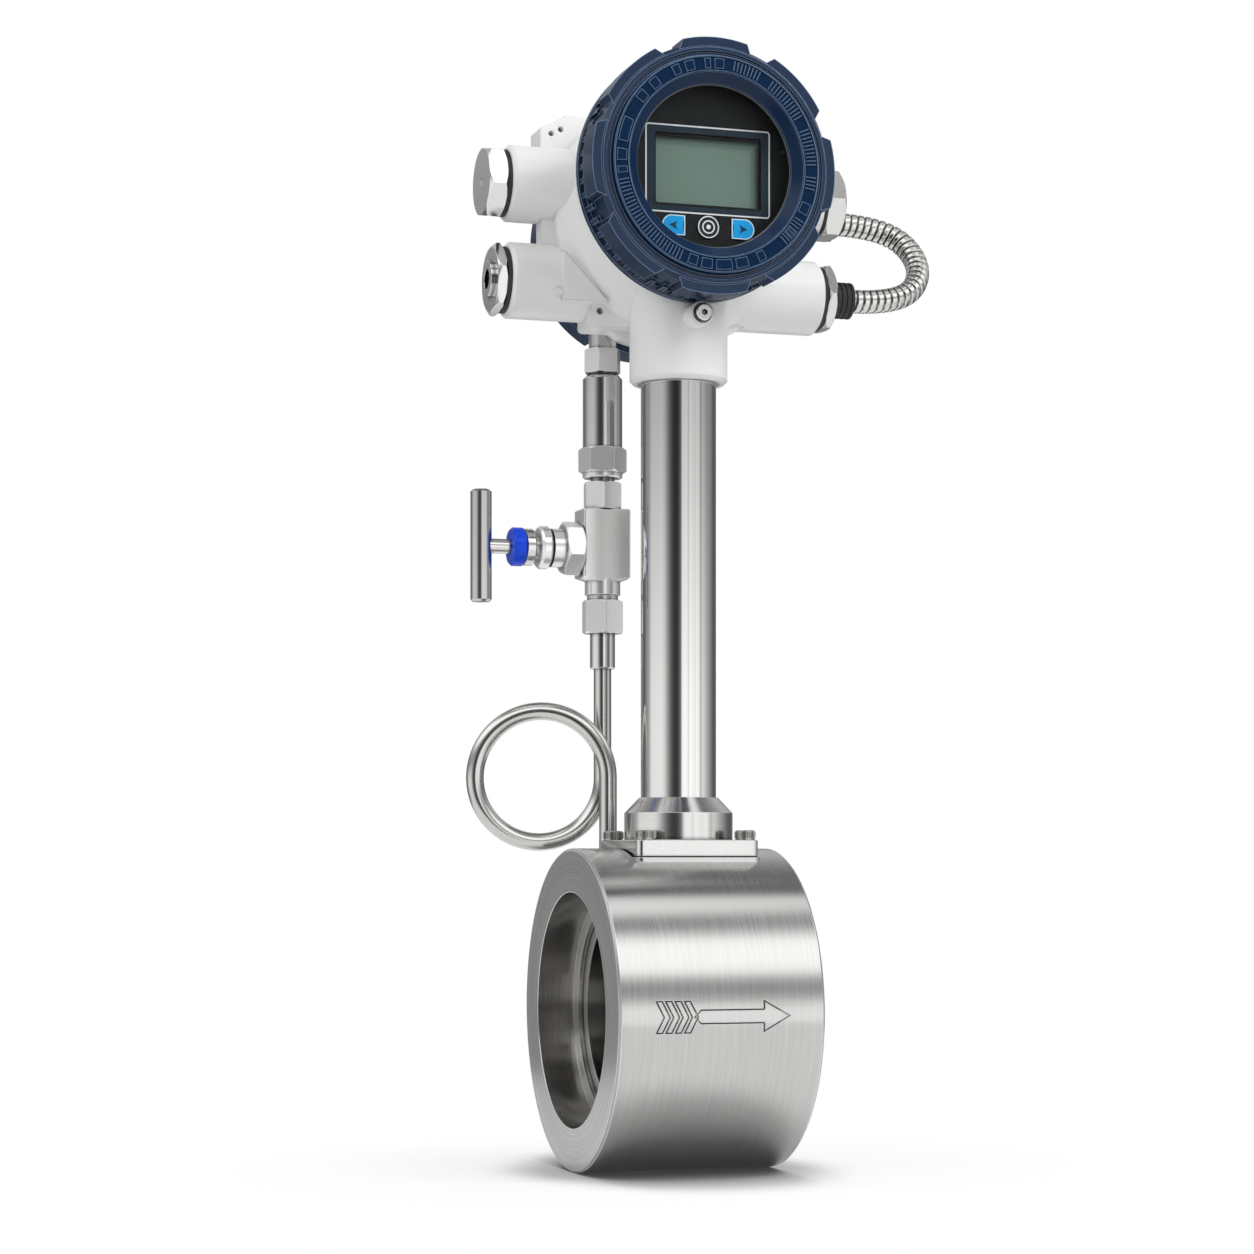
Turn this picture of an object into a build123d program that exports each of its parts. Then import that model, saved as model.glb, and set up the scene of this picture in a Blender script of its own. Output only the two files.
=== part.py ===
from build123d import *
import os
from math import cos, pi, radians, sin, sqrt, tan

# A wafer vortex flow meter with a display head on a tall stem and a pressure line beside it.
# Millimetres. X runs with the flow, Z up the stem, and the origin is the inlet face's centre.

# Clearances, and details used all over
running_gap = 0.05
slip_gap = 0.3
seat_gap = 0.02
overcut = 1.0
edge_break = 0.4
fine_chamfer = 0.6
wide_chamfer = 1.0
hexagon_cut = 0.66

# Meter body
body_radius = 71.0
body_length = 92.0
bore_radius = 40.0
socket_radius = 51.75
socket_depth = 17.0
ledge_radius = 45.0
ledge_depth = 3.0
rim_chamfer = 1.0
pad_drop = 3.9
pad_margin = 1.0
pad_corner = 4.0
arrow_length = 60.2
arrow_head_length = 12.1
arrow_head_width = 13.8
arrow_shaft_width = 6.2
arrow_tail_length = 20.0
arrow_feathers = 4
arrow_line = 0.5
arrow_depth = 0.5

# Bluff bar and sensing probe
bar_width = 22.4
bar_length = 14.0
bar_tail_width = 7.0
bar_face_land = 2.5
bar_to_probe = 18.5
probe_radius = 9.9
probe_flange_radius = 14.0
probe_flange_thickness = 3.0
probe_seal_thickness = 1.0
probe_paddle_width = 12.0
probe_paddle_thickness = 4.0
probe_paddle_reach = 34.0
probe_paddle_corner = 1.8
probe_guide_reach = 2.0
probe_neck_radius = 7.0
probe_neck_height = 22.0

# Flange plate, collar, screws and stem
stem_offset = 4.0
gasket_thickness = 0.6
gasket_margin = 1.0
plate_size = 56.0
plate_corner = 3.0
plate_thickness = 7.0
collar_radius = 24.0
collar_height = 11.9
cone_height = 6.8
cone_lip = 0.9
screw_spacing = 46.0
screw_radius = 2.5
screw_head_radius = 4.25
screw_head_height = 4.2
screw_grip = 9.0
screw_hole_spare = 2.0
screw_key = 4.0
stem_radius = 16.7
stem_wall = 3.0
stem_length = 235.0
stem_socket_depth = 3.0

# Head housing
neck_radius = 21.7
neck_socket_depth = 30.2
neck_to_axis = 86.5
neck_fillet = 1.5
neck_relief = 1.4
neck_relief_depth = 1.6
head_wall = 3.4
thread_radius = 46.4
front_thread_length = 21.5
front_flange_radius = 49.5
front_flange_length = 7.0
front_flange_slope = 2.0
barrel_radius = 47.0
front_shoulder = 22.4
belly_radius = 53.5
belly_drop = 12.0
belly_front = 10.0
belly_back = 31.0
rear_drop = 13.0
rear_shift = 5.0
rear_inset = 3.2
rear_shoulder = 55.0
rear_barrel_radius = 49.1
rear_thread_length = 13.0
partition_place = 8.0
partition_thickness = 4.0
boss_radius = 16.7
boss_reach = 72.0
left_boss_spare = 2.5
boss_depth_place = 20.0
upper_boss_rise = 2.0
lower_boss_rise = -40.8
boss_edge = 1.5
web_reach = 59.0
web_front = 14.0
web_thickness = 9.0
web_rise = 2.0
web_drop = 3.0
web_foot = 22.0
gusset_left = 52.3
gusset_right = 31.5
gusset_rise = 11.6
gusset_drop = 10.4
gusset_front = 2.0
pip_left = 54.4
pip_drop = 7.0
pip_front = 3.0
pip_radius = 2.1
entry_radius = 10.0
entry_share = 0.6
rear_entry_radius = 9.4
rear_entry_gap = 0.55
lead_hole_radius = 5.0
stem_lead_radius = 6.0

# Earth lug and ear on the head, with their holes placed from the lower left corner
lug_left = 38.6
lug_width = 24.0
lug_drop = 61.4
lug_height = 10.6
lug_corner = 2.0
lug_front = 7.0
lug_depth = 20.0
lug_hole = (4.4, 7.0)
lug_hole_radius = 1.5
ear_left = 54.0
ear_width = 30.0
ear_bottom = 10.0
ear_height = 27.7
ear_step_rise = 21.6
ear_step_width = 5.6
ear_slope_width = 6.2
ear_slope_rise = 4.0
ear_corner = 1.6
ear_forward = 21.0
ear_depth = 15.0
ear_holes = [(5.2, 19.2), (9.6, 21.3)]
ear_hole_radius = 1.2
small_hole_depth = 7.0

# Covers
cover_radius = 55.0
cover_drum_radius = 52.2
cover_depth = 29.0
cover_wall = 2.4
cover_rim_radius = 54.4
cover_rim_length = 3.6
cover_rib_count = 56
cover_rib_width = 2.2
cover_rib_length = 8.4
cover_rib_inset = 0.6
cover_band_outer = 46.4
cover_band_inner = 39.4
cover_band_height = 2.0
cover_band_edge = 0.5
cover_groove_depth = 0.6
cover_groove_slope = 0.6
cover_groove_floor = 1.2
cover_edge_width = 1.8
cover_edge_depth = 2.4
cover_rim_slope = 0.8
cover_dish_slope = 1.5
window_radius = 35.0
window_land = 1.2
window_seat_radius = 40.5
window_lip = 3.6
glass_thickness = 5.0
window_gasket_thickness = 0.5
window_gasket_inset = 0.4
window_ring_width = 3.2
window_ring_thickness = 2.6
lobe_count = 8
lobe_span = 31.0
lobe_length = 14.0
lobe_foot = 4.0
lobe_root = 2.5
lobe_set_back = 0.8
o_ring_thickness = 2.4
rear_cover_depth = 20.5

# Display
display_gap = 0.6
display_thickness = 3.0
display_radius = 41.8
screen_width = 48.4
screen_height = 31.5
screen_corner = 1.2
screen_recess = 1.6
screen_rise = -0.7
screen_thickness = 4.0
screen_frame_width = 54.0
screen_frame_height = 34.0
key_spacing = 15.8
key_drop = 24.6
key_width = 10.4
key_height = 8.6
key_hollow = 1.0
ring_key_radius = 5.0
key_proud = 0.8
key_flange = 1.0
key_flange_grow = 1.2
key_travel = 0.7
board_thickness = 1.6
board_margin = 3.0
board_height = 72.0
board_gap = 4.0
switch_size = 6.0
chip_height = 3.5
large_chip = (-12.0, 8.0, 20.0, 12.0)
small_chip = (14.0, -6.0, 12.0, 16.0)
second_board_gap = 9.0
post_radius = 2.6
post_margin = 7.0
post_head = 1.5
terminal_board_gap = 10.0
terminal_width = 44.0
terminal_height = 11.0
terminal_depth = 9.0
terminal_count = 6
terminal_screw_radius = 2.2
terminal_screw_depth = 3.0
terminal_wire_width = 4.4
terminal_wire_height = 3.0
terminal_wire_place = 3.6

# Plugs, glands and conduit
plug_turn = 17.4
gland_turn = 41.4
right_turn = 30.0
plug_across = 29.0
plug_length = 8.5
gland_across = 28.0
gland_length = 4.5
plug_shank = 14.0
plug_seal_radius = 14.6
plug_seal_thickness = 2.0
plug_dimple_depth = 0.8
plug_dimple_radius = 1.6
gland_nose_radius = 8.0
gland_nose_length = 1.6
gland_bore_radius = 4.5
sleeve_radius = 8.25
sleeve_length = 10.9
rear_sleeve_length = 16.0
sleeve_bands = 9
sleeve_groove = 0.5
conduit_radius = 5.4
rear_gland_wall = 0.8

# Conduit corners: reach from the stem, then shares of the way back and of the way up
conduit_corners = [
    (104.0, 0.0, 0.0),
    (122.0, 0.13, 0.14),
    (130.4, 0.48, 0.485),
    (124.5, 0.85, 0.85),
    (107.0, 1.0, 1.0),
]
conduit_corner_share = 0.45

# Lock screw
lock_boss_radius = 5.35
lock_boss_reach = 32.0
lock_rise = 26.3
lock_screw_radius = 2.0
lock_head_radius = 3.6
lock_head_height = 2.6
lock_key = 2.5
lock_washer_radius = 4.3
lock_washer_thickness = 0.7

# Pressure line, upwards from the body
line_offset = -22.0
tube_clear = 1.2
tube_radius = 4.0
tube_wall = 1.1
tube_socket_radius = 7.0
tube_socket_drop = 1.1
tube_seat_depth = 8.0
loop_radius = 29.5
loop_turn = 15.0
loop_rise = 28.4
tap_radius = 2.5
ferrule_proud = 16.0
ferrule_grip = 5.1
ferrule_radius = 5.7
tube_grip = 3.5
lower_nut_turn = 23.0
adapter_turn = 20.0
union_turn = 43.0
cap_turn = 3.0
lower_nut_across = 17.0
lower_nut_length = 15.0
valve_height = 32.7
valve_width = 22.0
valve_depth = 16.0
valve_spigot_radius = 5.0
valve_shoulder_radius = 8.1
valve_shoulder_length = 6.6
valve_collar_radius = 7.1
valve_collar_length = 2.0
valve_end_radius = 8.1
valve_end_slope = 0.35
passage_radius = 2.5
adapter_across = 16.0
adapter_hex_length = 12.3
adapter_shank_radius = 6.0
adapter_shank_length = 8.0
adapter_neck_radius = 5.4
adapter_neck_length = 8.7
adapter_lip_radius = 6.6
adapter_lip_length = 1.6
union_across = 19.0
union_length = 11.4
union_skirt_radius = 9.1
union_skirt_length = 2.4
union_gap = 1.9
sensor_radius = 9.0
sensor_length = 33.0
sensor_thread_radius = 6.9
sensor_shoulder = 1.8
sensor_lead_depth = 5.0
cap_across = 15.0
cap_length = 11.0
cap_neck_radius = 6.4
cap_neck_length = 0.8
lead_sleeve_radius = 6.2
lead_gap = 11.2
lead_grip = 8.2
lead_bore_radius = 3.5

# Needle valve
needle_rise = 14.7
bonnet_turn = 13.0
bonnet_across = 22.0
bonnet_hex_length = 8.2
bonnet_shank_radius = 7.0
bonnet_shank_length = 7.0
bonnet_barrel_radius = 8.7
bonnet_barrel_length = 5.5
bonnet_groove_radius = 6.8
bonnet_groove_length = 1.0
bonnet_collar_radius = 9.7
bonnet_collar_length = 5.1
bonnet_spigot_radius = 5.6
bonnet_spigot_length = 5.2
bonnet_end_wall = 0.7
packing_nut_radius = 8.3
packing_nut_length = 4.6
packing_nut_gap = 2.3
dust_cap_radius = 8.7
dust_cap_length = 5.9
valve_stem_radius = 3.35
valve_thread_radius = 4.2
handle_radius = 4.8
handle_length = 50.4
handle_stand = 13.5
stem_end_cover = 1.6
needle_radius = 2.4
needle_point = 1.0
needle_seat_depth = 2.0
needle_travel = 5.0
needle_tip_radius = 0.8
needle_collar_gap = 0.5
stem_thread_start = -1.0

# Places worked out from the sizes above
stem_x = body_length / 2 + stem_offset
pad_z = body_radius - pad_drop
plate_z = pad_z + gasket_thickness
plate_top = plate_z + plate_thickness
stem_bottom = plate_top - stem_socket_depth
stem_top = stem_bottom + stem_length
neck_bottom = stem_top - neck_socket_depth
head_z = neck_bottom + neck_to_axis
rear_z = head_z - rear_drop
rear_x = stem_x + rear_shift
chamber_radius = thread_radius - head_wall
thread_bore = thread_radius + slip_gap
cover_rear_y = -front_shoulder - slip_gap
cover_front_y = cover_rear_y - cover_depth
rear_cover_y = rear_shoulder + slip_gap
pad_size = plate_size + 2 * pad_margin

# The pressure line hangs from the head, and its loop takes up the height that is left
line_x = stem_x + line_offset
line_pitch = 2 * tube_radius + slip_gap
outlet_y = pad_size / 2 + tube_clear + tube_radius
column_y = outlet_y + line_pitch
line_depth = (outlet_y + column_y) / 2
tube_socket_top = pad_z - tube_socket_drop
tube_seat_z = tube_socket_top - tube_seat_depth
loop_z = plate_top + loop_rise
lead_entry_z = rear_z - sqrt(rear_barrel_radius**2 - (line_offset - rear_shift) ** 2)
cap_top = lead_entry_z - lead_gap
cap_base = cap_top - cap_length
sensor_top = cap_base - cap_neck_length
union_top = sensor_top - sensor_length
union_base = union_top - union_length
union_skirt_base = union_base - union_skirt_length
adapter_hex_top = union_skirt_base - union_gap
adapter_top = adapter_hex_top + adapter_neck_length
valve_top = adapter_hex_top - adapter_hex_length
valve_base = valve_top - valve_height
lower_nut_top = valve_base - valve_shoulder_length - valve_collar_length
lower_nut_base = lower_nut_top - lower_nut_length
ferrule_base = lower_nut_base - ferrule_proud
ferrule_top = lower_nut_base + ferrule_grip
tube_top = lower_nut_base + tube_grip

# Working planes: one along the head, and functions for turned parts on the other lines
head_section = Plane((stem_x, 0, head_z), x_dir=(0, 1, 0), z_dir=(1, 0, 0))
rear_section = Plane((rear_x, 0, rear_z), x_dir=(0, 1, 0), z_dir=(1, 0, 0))
flow_section = Plane((0, 0, 0), x_dir=(1, 0, 0), z_dir=(0, -1, 0))


def face_plane(y, z=head_z, x=stem_x):
    """Plane across the head at depth y, with X to the right and Z up, facing the front."""
    return Plane((x, y, z), x_dir=(1, 0, 0), z_dir=(0, -1, 0))


def side_section(side, reach, y, z):
    """Section plane of a fitting on the head's side: x runs outwards from the reach."""
    return Plane((stem_x + side * reach, y, z), x_dir=(side, 0, 0), z_dir=(0, -side, 0))


def upright_section(x, y):
    """Section plane of a turned part on a vertical line: x is the height."""
    return Plane((x, y, 0), x_dir=(0, 0, 1), z_dir=(0, 1, 0))


def turn(plane, *points, mode=Mode.ADD):
    """Turn an outline of (length, radius) points about the plane's x line."""
    with BuildSketch(plane) as outline:
        with BuildLine():
            Polyline(*points, close=True)
        make_face()
    revolve(outline.sketch, axis=Axis(plane.origin, plane.x_dir), mode=mode)


def turn_rod(plane, start, end, radius, mode=Mode.ADD):
    """A plain turned length, or with Mode.SUBTRACT a bore."""
    turn(plane, (start, 0), (end, 0), (end, radius), (start, radius), mode=mode)


def hexagon(plane, start, length, across, turned):
    """Hexagon bar along the plane's x line, its ends turned off. Unturned, a flat faces +Y."""
    corner = across / sqrt(3)
    cut = (corner - across / 2) * hexagon_cut
    base = plane.origin + plane.x_dir * start
    end_plane = Plane(base, x_dir=plane.y_dir, z_dir=plane.x_dir)
    with BuildSketch(end_plane) as outline:
        RegularPolygon(across / 2, 6, major_radius=False, rotation=turned)
    extrude(outline.sketch, amount=length)
    turn(
        plane,
        (start, 0),
        (start + length, 0),
        (start + length, across / 2),
        (start + length - cut, corner),
        (start + cut, corner),
        (start, across / 2),
        mode=Mode.INTERSECT,
    )


def engraved(*points):
    """Add a closed outline to the sketch as a thin engraved line."""
    with BuildLine() as edge:
        Polyline(*points, close=True)
    shape = make_face(edge.edges(), mode=Mode.PRIVATE)
    add(shape - offset(shape, amount=-arrow_line, mode=Mode.PRIVATE))


# Meter body: turned bar with a socket and a ledge at each end, and a pad milled on its crown
with BuildPart() as meter_body:
    turn(
        flow_section,
        (0, socket_radius),
        (0, body_radius - rim_chamfer),
        (rim_chamfer, body_radius),
        (body_length - rim_chamfer, body_radius),
        (body_length, body_radius - rim_chamfer),
        (body_length, socket_radius),
        (body_length - socket_depth, socket_radius),
        (body_length - socket_depth, ledge_radius),
        (body_length - socket_depth - ledge_depth, ledge_radius),
        (body_length - socket_depth - ledge_depth, bore_radius),
        (socket_depth + ledge_depth, bore_radius),
        (socket_depth + ledge_depth, ledge_radius),
        (socket_depth, ledge_radius),
        (socket_depth, socket_radius),
    )
    with BuildSketch(Plane.XY.offset(pad_z)) as pad_outline:
        with Locations((stem_x, 0)):
            RectangleRounded(pad_size, pad_size, pad_corner)
    extrude(pad_outline.sketch, amount=body_radius - pad_z + overcut, mode=Mode.SUBTRACT)
    extrude(pad_outline.sketch, amount=-(pad_z - bore_radius) / 2)
    turn_rod(upright_section(line_x, outlet_y), bore_radius, tube_socket_top, tube_socket_radius)
    turn_rod(upright_section(line_x, outlet_y), 0, tube_socket_top, tap_radius, mode=Mode.SUBTRACT)
    turn_rod(
        upright_section(line_x, outlet_y),
        tube_seat_z,
        tube_socket_top + overcut,
        tube_radius + seat_gap,
        mode=Mode.SUBTRACT,
    )
    turn_rod(upright_section(stem_x, 0), 0, pad_z, probe_radius + running_gap, mode=Mode.SUBTRACT)
    turn_rod(
        upright_section(stem_x, 0),
        pad_z - probe_flange_thickness - probe_seal_thickness,
        pad_z,
        probe_flange_radius + running_gap,
        mode=Mode.SUBTRACT,
    )
    with Locations(Plane((stem_x, 0, pad_z))):
        with GridLocations(screw_spacing, screw_spacing, 2, 2):
            Hole(screw_radius + running_gap, depth=screw_grip + screw_hole_spare)
    # The flow arrow, engraved on the front: shaft with a head, and feathers behind it
    arrow_plane = Plane((body_length / 2, -body_radius, 0), x_dir=(1, 0, 0), z_dir=(0, -1, 0))
    with BuildSketch(arrow_plane) as arrow:
        tip = arrow_length / 2
        head = tip - arrow_head_length
        tail = -tip + arrow_tail_length
        half_head = arrow_head_width / 2
        half_shaft = arrow_shaft_width / 2
        engraved(
            (tail, -half_shaft),
            (head, -half_shaft),
            (head, -half_head),
            (tip, 0),
            (head, half_head),
            (head, half_shaft),
            (tail, half_shaft),
            (tail - half_shaft, 0),
        )
        feather_pitch = (arrow_tail_length - half_head / 2) / arrow_feathers
        feather = feather_pitch - 2 * arrow_line
        for place in range(arrow_feathers):
            left = -tip + place * feather_pitch
            engraved(
                (left, half_head),
                (left + feather, half_head),
                (left + feather + half_head / 2, 0),
                (left + feather, -half_head),
                (left, -half_head),
                (left + half_head / 2, 0),
            )
    surface_fall = body_radius - sqrt(body_radius**2 - half_head**2)
    extrude(arrow.sketch, amount=-arrow_depth - surface_fall, mode=Mode.SUBTRACT)
meter_body.part.label = "meter_body"

# Bluff bar: a wedge across the bore that sheds the vortices, its ends fitted to the bore
bar_x = stem_x - bar_to_probe
with BuildPart() as shedder_bar:
    with BuildSketch(Plane.XY.offset(-bore_radius)):
        with BuildLine():
            Polyline(
                (bar_x - bar_length / 2, bar_width / 2),
                (bar_x - bar_length / 2 + bar_face_land, bar_width / 2),
                (bar_x + bar_length / 2, bar_tail_width / 2),
                (bar_x + bar_length / 2, -bar_tail_width / 2),
                (bar_x - bar_length / 2 + bar_face_land, -bar_width / 2),
                (bar_x - bar_length / 2, -bar_width / 2),
                close=True,
            )
        make_face()
    extrude(amount=2 * bore_radius)
    turn_rod(flow_section, 0, body_length, bore_radius - seat_gap, mode=Mode.INTERSECT)
shedder_bar.part.label = "shedder_bar"

# Sensing probe: flange and guide in the body, a flat paddle in the flow, a neck up the stem
probe_line = upright_section(stem_x, 0)
probe_guide_bottom = bore_radius - probe_guide_reach
with BuildPart() as sensor_probe:
    with BuildSketch(Plane.XY.offset(probe_guide_bottom)):
        with Locations((stem_x, 0)):
            RectangleRounded(probe_paddle_width, probe_paddle_thickness, probe_paddle_corner)
    extrude(amount=-probe_paddle_reach)
    turn_rod(probe_line, probe_guide_bottom, pad_z, probe_radius)
    turn_rod(probe_line, pad_z - probe_flange_thickness, pad_z, probe_flange_radius)
    turn_rod(probe_line, pad_z, pad_z + probe_neck_height, probe_neck_radius)
sensor_probe.part.label = "sensor_probe"

with BuildPart() as probe_seal:
    turn(
        probe_line,
        (pad_z - probe_flange_thickness - probe_seal_thickness, probe_radius + running_gap),
        (pad_z - probe_flange_thickness, probe_radius + running_gap),
        (pad_z - probe_flange_thickness, probe_flange_radius),
        (pad_z - probe_flange_thickness - probe_seal_thickness, probe_flange_radius),
    )
probe_seal.part.label = "probe_seal"

with BuildPart() as plate_gasket:
    with BuildSketch(Plane.XY.offset(pad_z)):
        with Locations((stem_x, 0)):
            RectangleRounded(plate_size - 2 * gasket_margin, plate_size - 2 * gasket_margin, plate_corner)
            Circle(probe_neck_radius + gasket_margin, mode=Mode.SUBTRACT)
            with GridLocations(screw_spacing, screw_spacing, 2, 2):
                Circle(screw_radius + slip_gap, mode=Mode.SUBTRACT)
    extrude(amount=gasket_thickness)
plate_gasket.part.label = "plate_gasket"

# Square flange plate with the collar and cone that the stem is welded into
with BuildPart() as flange_plate:
    with BuildSketch(Plane.XY.offset(plate_z)):
        with Locations((stem_x, 0)):
            RectangleRounded(plate_size, plate_size, plate_corner)
    extrude(amount=plate_thickness)
    chamfer(flange_plate.faces().sort_by(Axis.Z)[-1].edges(), edge_break)
    turn(
        probe_line,
        (plate_z, 0),
        (plate_top + collar_height, 0),
        (plate_top + collar_height + cone_height, 0),
        (plate_top + collar_height + cone_height, stem_radius + cone_lip),
        (plate_top + collar_height, collar_radius),
        (plate_z, collar_radius),
    )
    turn_rod(
        probe_line,
        stem_bottom,
        plate_top + collar_height + cone_height + overcut,
        stem_radius + seat_gap,
        mode=Mode.SUBTRACT,
    )
    turn_rod(probe_line, plate_z - overcut, stem_bottom, probe_neck_radius + slip_gap, mode=Mode.SUBTRACT)
    with Locations(Plane((stem_x, 0, plate_top))):
        with GridLocations(screw_spacing, screw_spacing, 2, 2):
            Hole(screw_radius + slip_gap, depth=plate_thickness + overcut)
flange_plate.part.label = "flange_plate"


def socket_screw(plane, shank_radius, shank_length, head_radius, head_height, key_across):
    """Socket head screw on a section plane, its head seated at zero and its shank below it."""
    turn(
        plane,
        (-shank_length, 0),
        (head_height, 0),
        (head_height, head_radius - edge_break),
        (head_height - edge_break, head_radius),
        (0, head_radius),
        (0, shank_radius),
        (-shank_length, shank_radius),
    )
    top = Plane(plane.origin + plane.x_dir * head_height, x_dir=plane.y_dir, z_dir=plane.x_dir)
    with BuildSketch(top) as key_hole:
        RegularPolygon(key_across / 2, 6, major_radius=False)
    extrude(key_hole.sketch, amount=-head_height / 2, mode=Mode.SUBTRACT)


screw_places = [
    (stem_x + along * screw_spacing / 2, across * screw_spacing / 2)
    for along in (-1, 1)
    for across in (-1, 1)
]
with BuildPart() as plate_screws:
    for x, y in screw_places:
        socket_screw(
            Plane((x, y, plate_top), x_dir=(0, 0, 1), z_dir=(0, 1, 0)),
            screw_radius,
            plate_thickness + gasket_thickness + screw_grip,
            screw_head_radius,
            screw_head_height,
            screw_key,
        )
plate_screws.part.label = "plate_screws"

with BuildPart() as stem_tube:
    turn(
        probe_line,
        (stem_bottom, stem_radius - stem_wall),
        (stem_top, stem_radius - stem_wall),
        (stem_top, stem_radius),
        (stem_bottom, stem_radius),
    )
stem_tube.part.label = "stem_tube"

# Head housing: one casting with a front and a lower, wider rear chamber, a neck and five entries
upper_boss_z = head_z + upper_boss_rise
lower_boss_z = head_z + lower_boss_rise
rear_entry_y = boss_depth_place + boss_radius + sleeve_radius + rear_entry_gap
left_reach = boss_reach + left_boss_spare
entry_places = [
    (side, reach, height)
    for side, reach in ((-1, left_reach), (1, boss_reach))
    for height in (upper_boss_z, lower_boss_z)
]
front_mouth_y = -front_shoulder - front_thread_length
rear_mouth_y = rear_shoulder + rear_thread_length
rear_chamber_y = partition_place + partition_thickness
rear_thread_radius = thread_radius - rear_inset
rear_chamber_radius = chamber_radius - rear_inset
lock_z = neck_bottom + lock_rise
entry_start = chamber_radius * entry_share
barrel_start = -front_shoulder + front_flange_length + front_flange_slope
belly_section = Plane((stem_x, 0, head_z - belly_drop), x_dir=(0, 1, 0), z_dir=(1, 0, 0))
with BuildPart() as head_housing:
    turn(
        head_section,
        (front_mouth_y, 0),
        (belly_front, 0),
        (belly_front, barrel_radius),
        (barrel_start, barrel_radius),
        (-front_shoulder + front_flange_length, front_flange_radius),
        (-front_shoulder, front_flange_radius),
        (-front_shoulder, thread_radius),
        (front_mouth_y, thread_radius),
    )
    turn(
        rear_section,
        (belly_front, 0),
        (rear_mouth_y, 0),
        (rear_mouth_y, rear_thread_radius),
        (rear_shoulder, rear_thread_radius),
        (rear_shoulder, rear_barrel_radius),
        (belly_front, rear_barrel_radius),
    )
    # Belly that swells from the front barrel down and back over both chambers
    turn(
        belly_section,
        (barrel_start, 0),
        (belly_back, 0),
        (belly_back, belly_radius - wide_chamfer),
        (belly_back - wide_chamfer, belly_radius),
        (belly_front, belly_radius),
        (barrel_start, barrel_radius - belly_drop),
    )
    # Neck with a rounded foot, and the web that joins the bosses
    neck_line = upright_section(stem_x, 0)
    turn(
        neck_line,
        (neck_bottom, 0),
        (head_z, 0),
        (head_z, neck_radius),
        (neck_bottom + neck_fillet, neck_radius),
        (neck_bottom, neck_radius - neck_fillet),
    )
    web_bottom = lower_boss_z - web_drop
    with BuildSketch(face_plane(web_front, 0)) as web:
        with BuildLine():
            Polyline(
                (-web_reach, upper_boss_z + web_rise),
                (web_reach, upper_boss_z + web_rise),
                (web_reach, web_bottom),
                (neck_radius, neck_bottom + web_foot),
                (-neck_radius, neck_bottom + web_foot),
                (-web_reach, web_bottom),
                close=True,
            )
        make_face()
    extrude(web.sketch, amount=-web_thickness)
    for side, reach, height in entry_places:
        turn(
            side_section(side, 0, boss_depth_place, height),
            (neck_radius, 0),
            (reach, 0),
            (reach, boss_radius - boss_edge),
            (reach - boss_edge, boss_radius),
            (neck_radius, boss_radius),
        )
    turn_rod(
        side_section(1, 0, rear_entry_y, head_z), barrel_radius / 2, boss_reach, rear_entry_radius
    )
    # Boss for the screw that locks the stem, earth lug at the lower left, ear at the upper left
    lock_line = Plane((stem_x, 0, lock_z), x_dir=(0, -1, 0), z_dir=(1, 0, 0))
    turn_rod(lock_line, 0, lock_boss_reach, lock_boss_radius)
    with BuildSketch(face_plane(lug_front, head_z - lug_drop)) as lug:
        with Locations((-lug_left + lug_width / 2, lug_height / 2)):
            RectangleRounded(lug_width, lug_height, lug_corner)
    extrude(lug.sketch, amount=-lug_depth)
    ear_y = rear_shoulder - ear_forward
    with BuildSketch(face_plane(ear_y, head_z + ear_bottom)) as ear:
        with BuildLine():
            Polyline(
                (-ear_left, 0),
                (-ear_left, ear_step_rise),
                (-ear_left + ear_step_width, ear_height - ear_slope_rise),
                (-ear_left + ear_step_width + ear_slope_width, ear_height),
                (-ear_left + ear_width, ear_height),
                (-ear_left + ear_width, 0),
                close=True,
            )
        make_face()
        fillet(ear.vertices(), ear_corner)
    extrude(ear.sketch, amount=-ear_depth)
    # Three-cornered gusset on the lower left boss, with a small pip beside it
    with BuildSketch(face_plane(gusset_front, lower_boss_z)) as gusset:
        with BuildLine():
            Polyline(
                (-gusset_left, gusset_rise),
                (-gusset_left, -gusset_drop),
                (-gusset_right, -gusset_drop),
                close=True,
            )
        make_face()
    extrude(gusset.sketch, amount=-boss_radius)
    with BuildSketch(face_plane(pip_front, lower_boss_z - pip_drop)) as pip:
        with Locations((-pip_left, 0)):
            Circle(pip_radius)
    extrude(pip.sketch, amount=-boss_radius)
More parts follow.
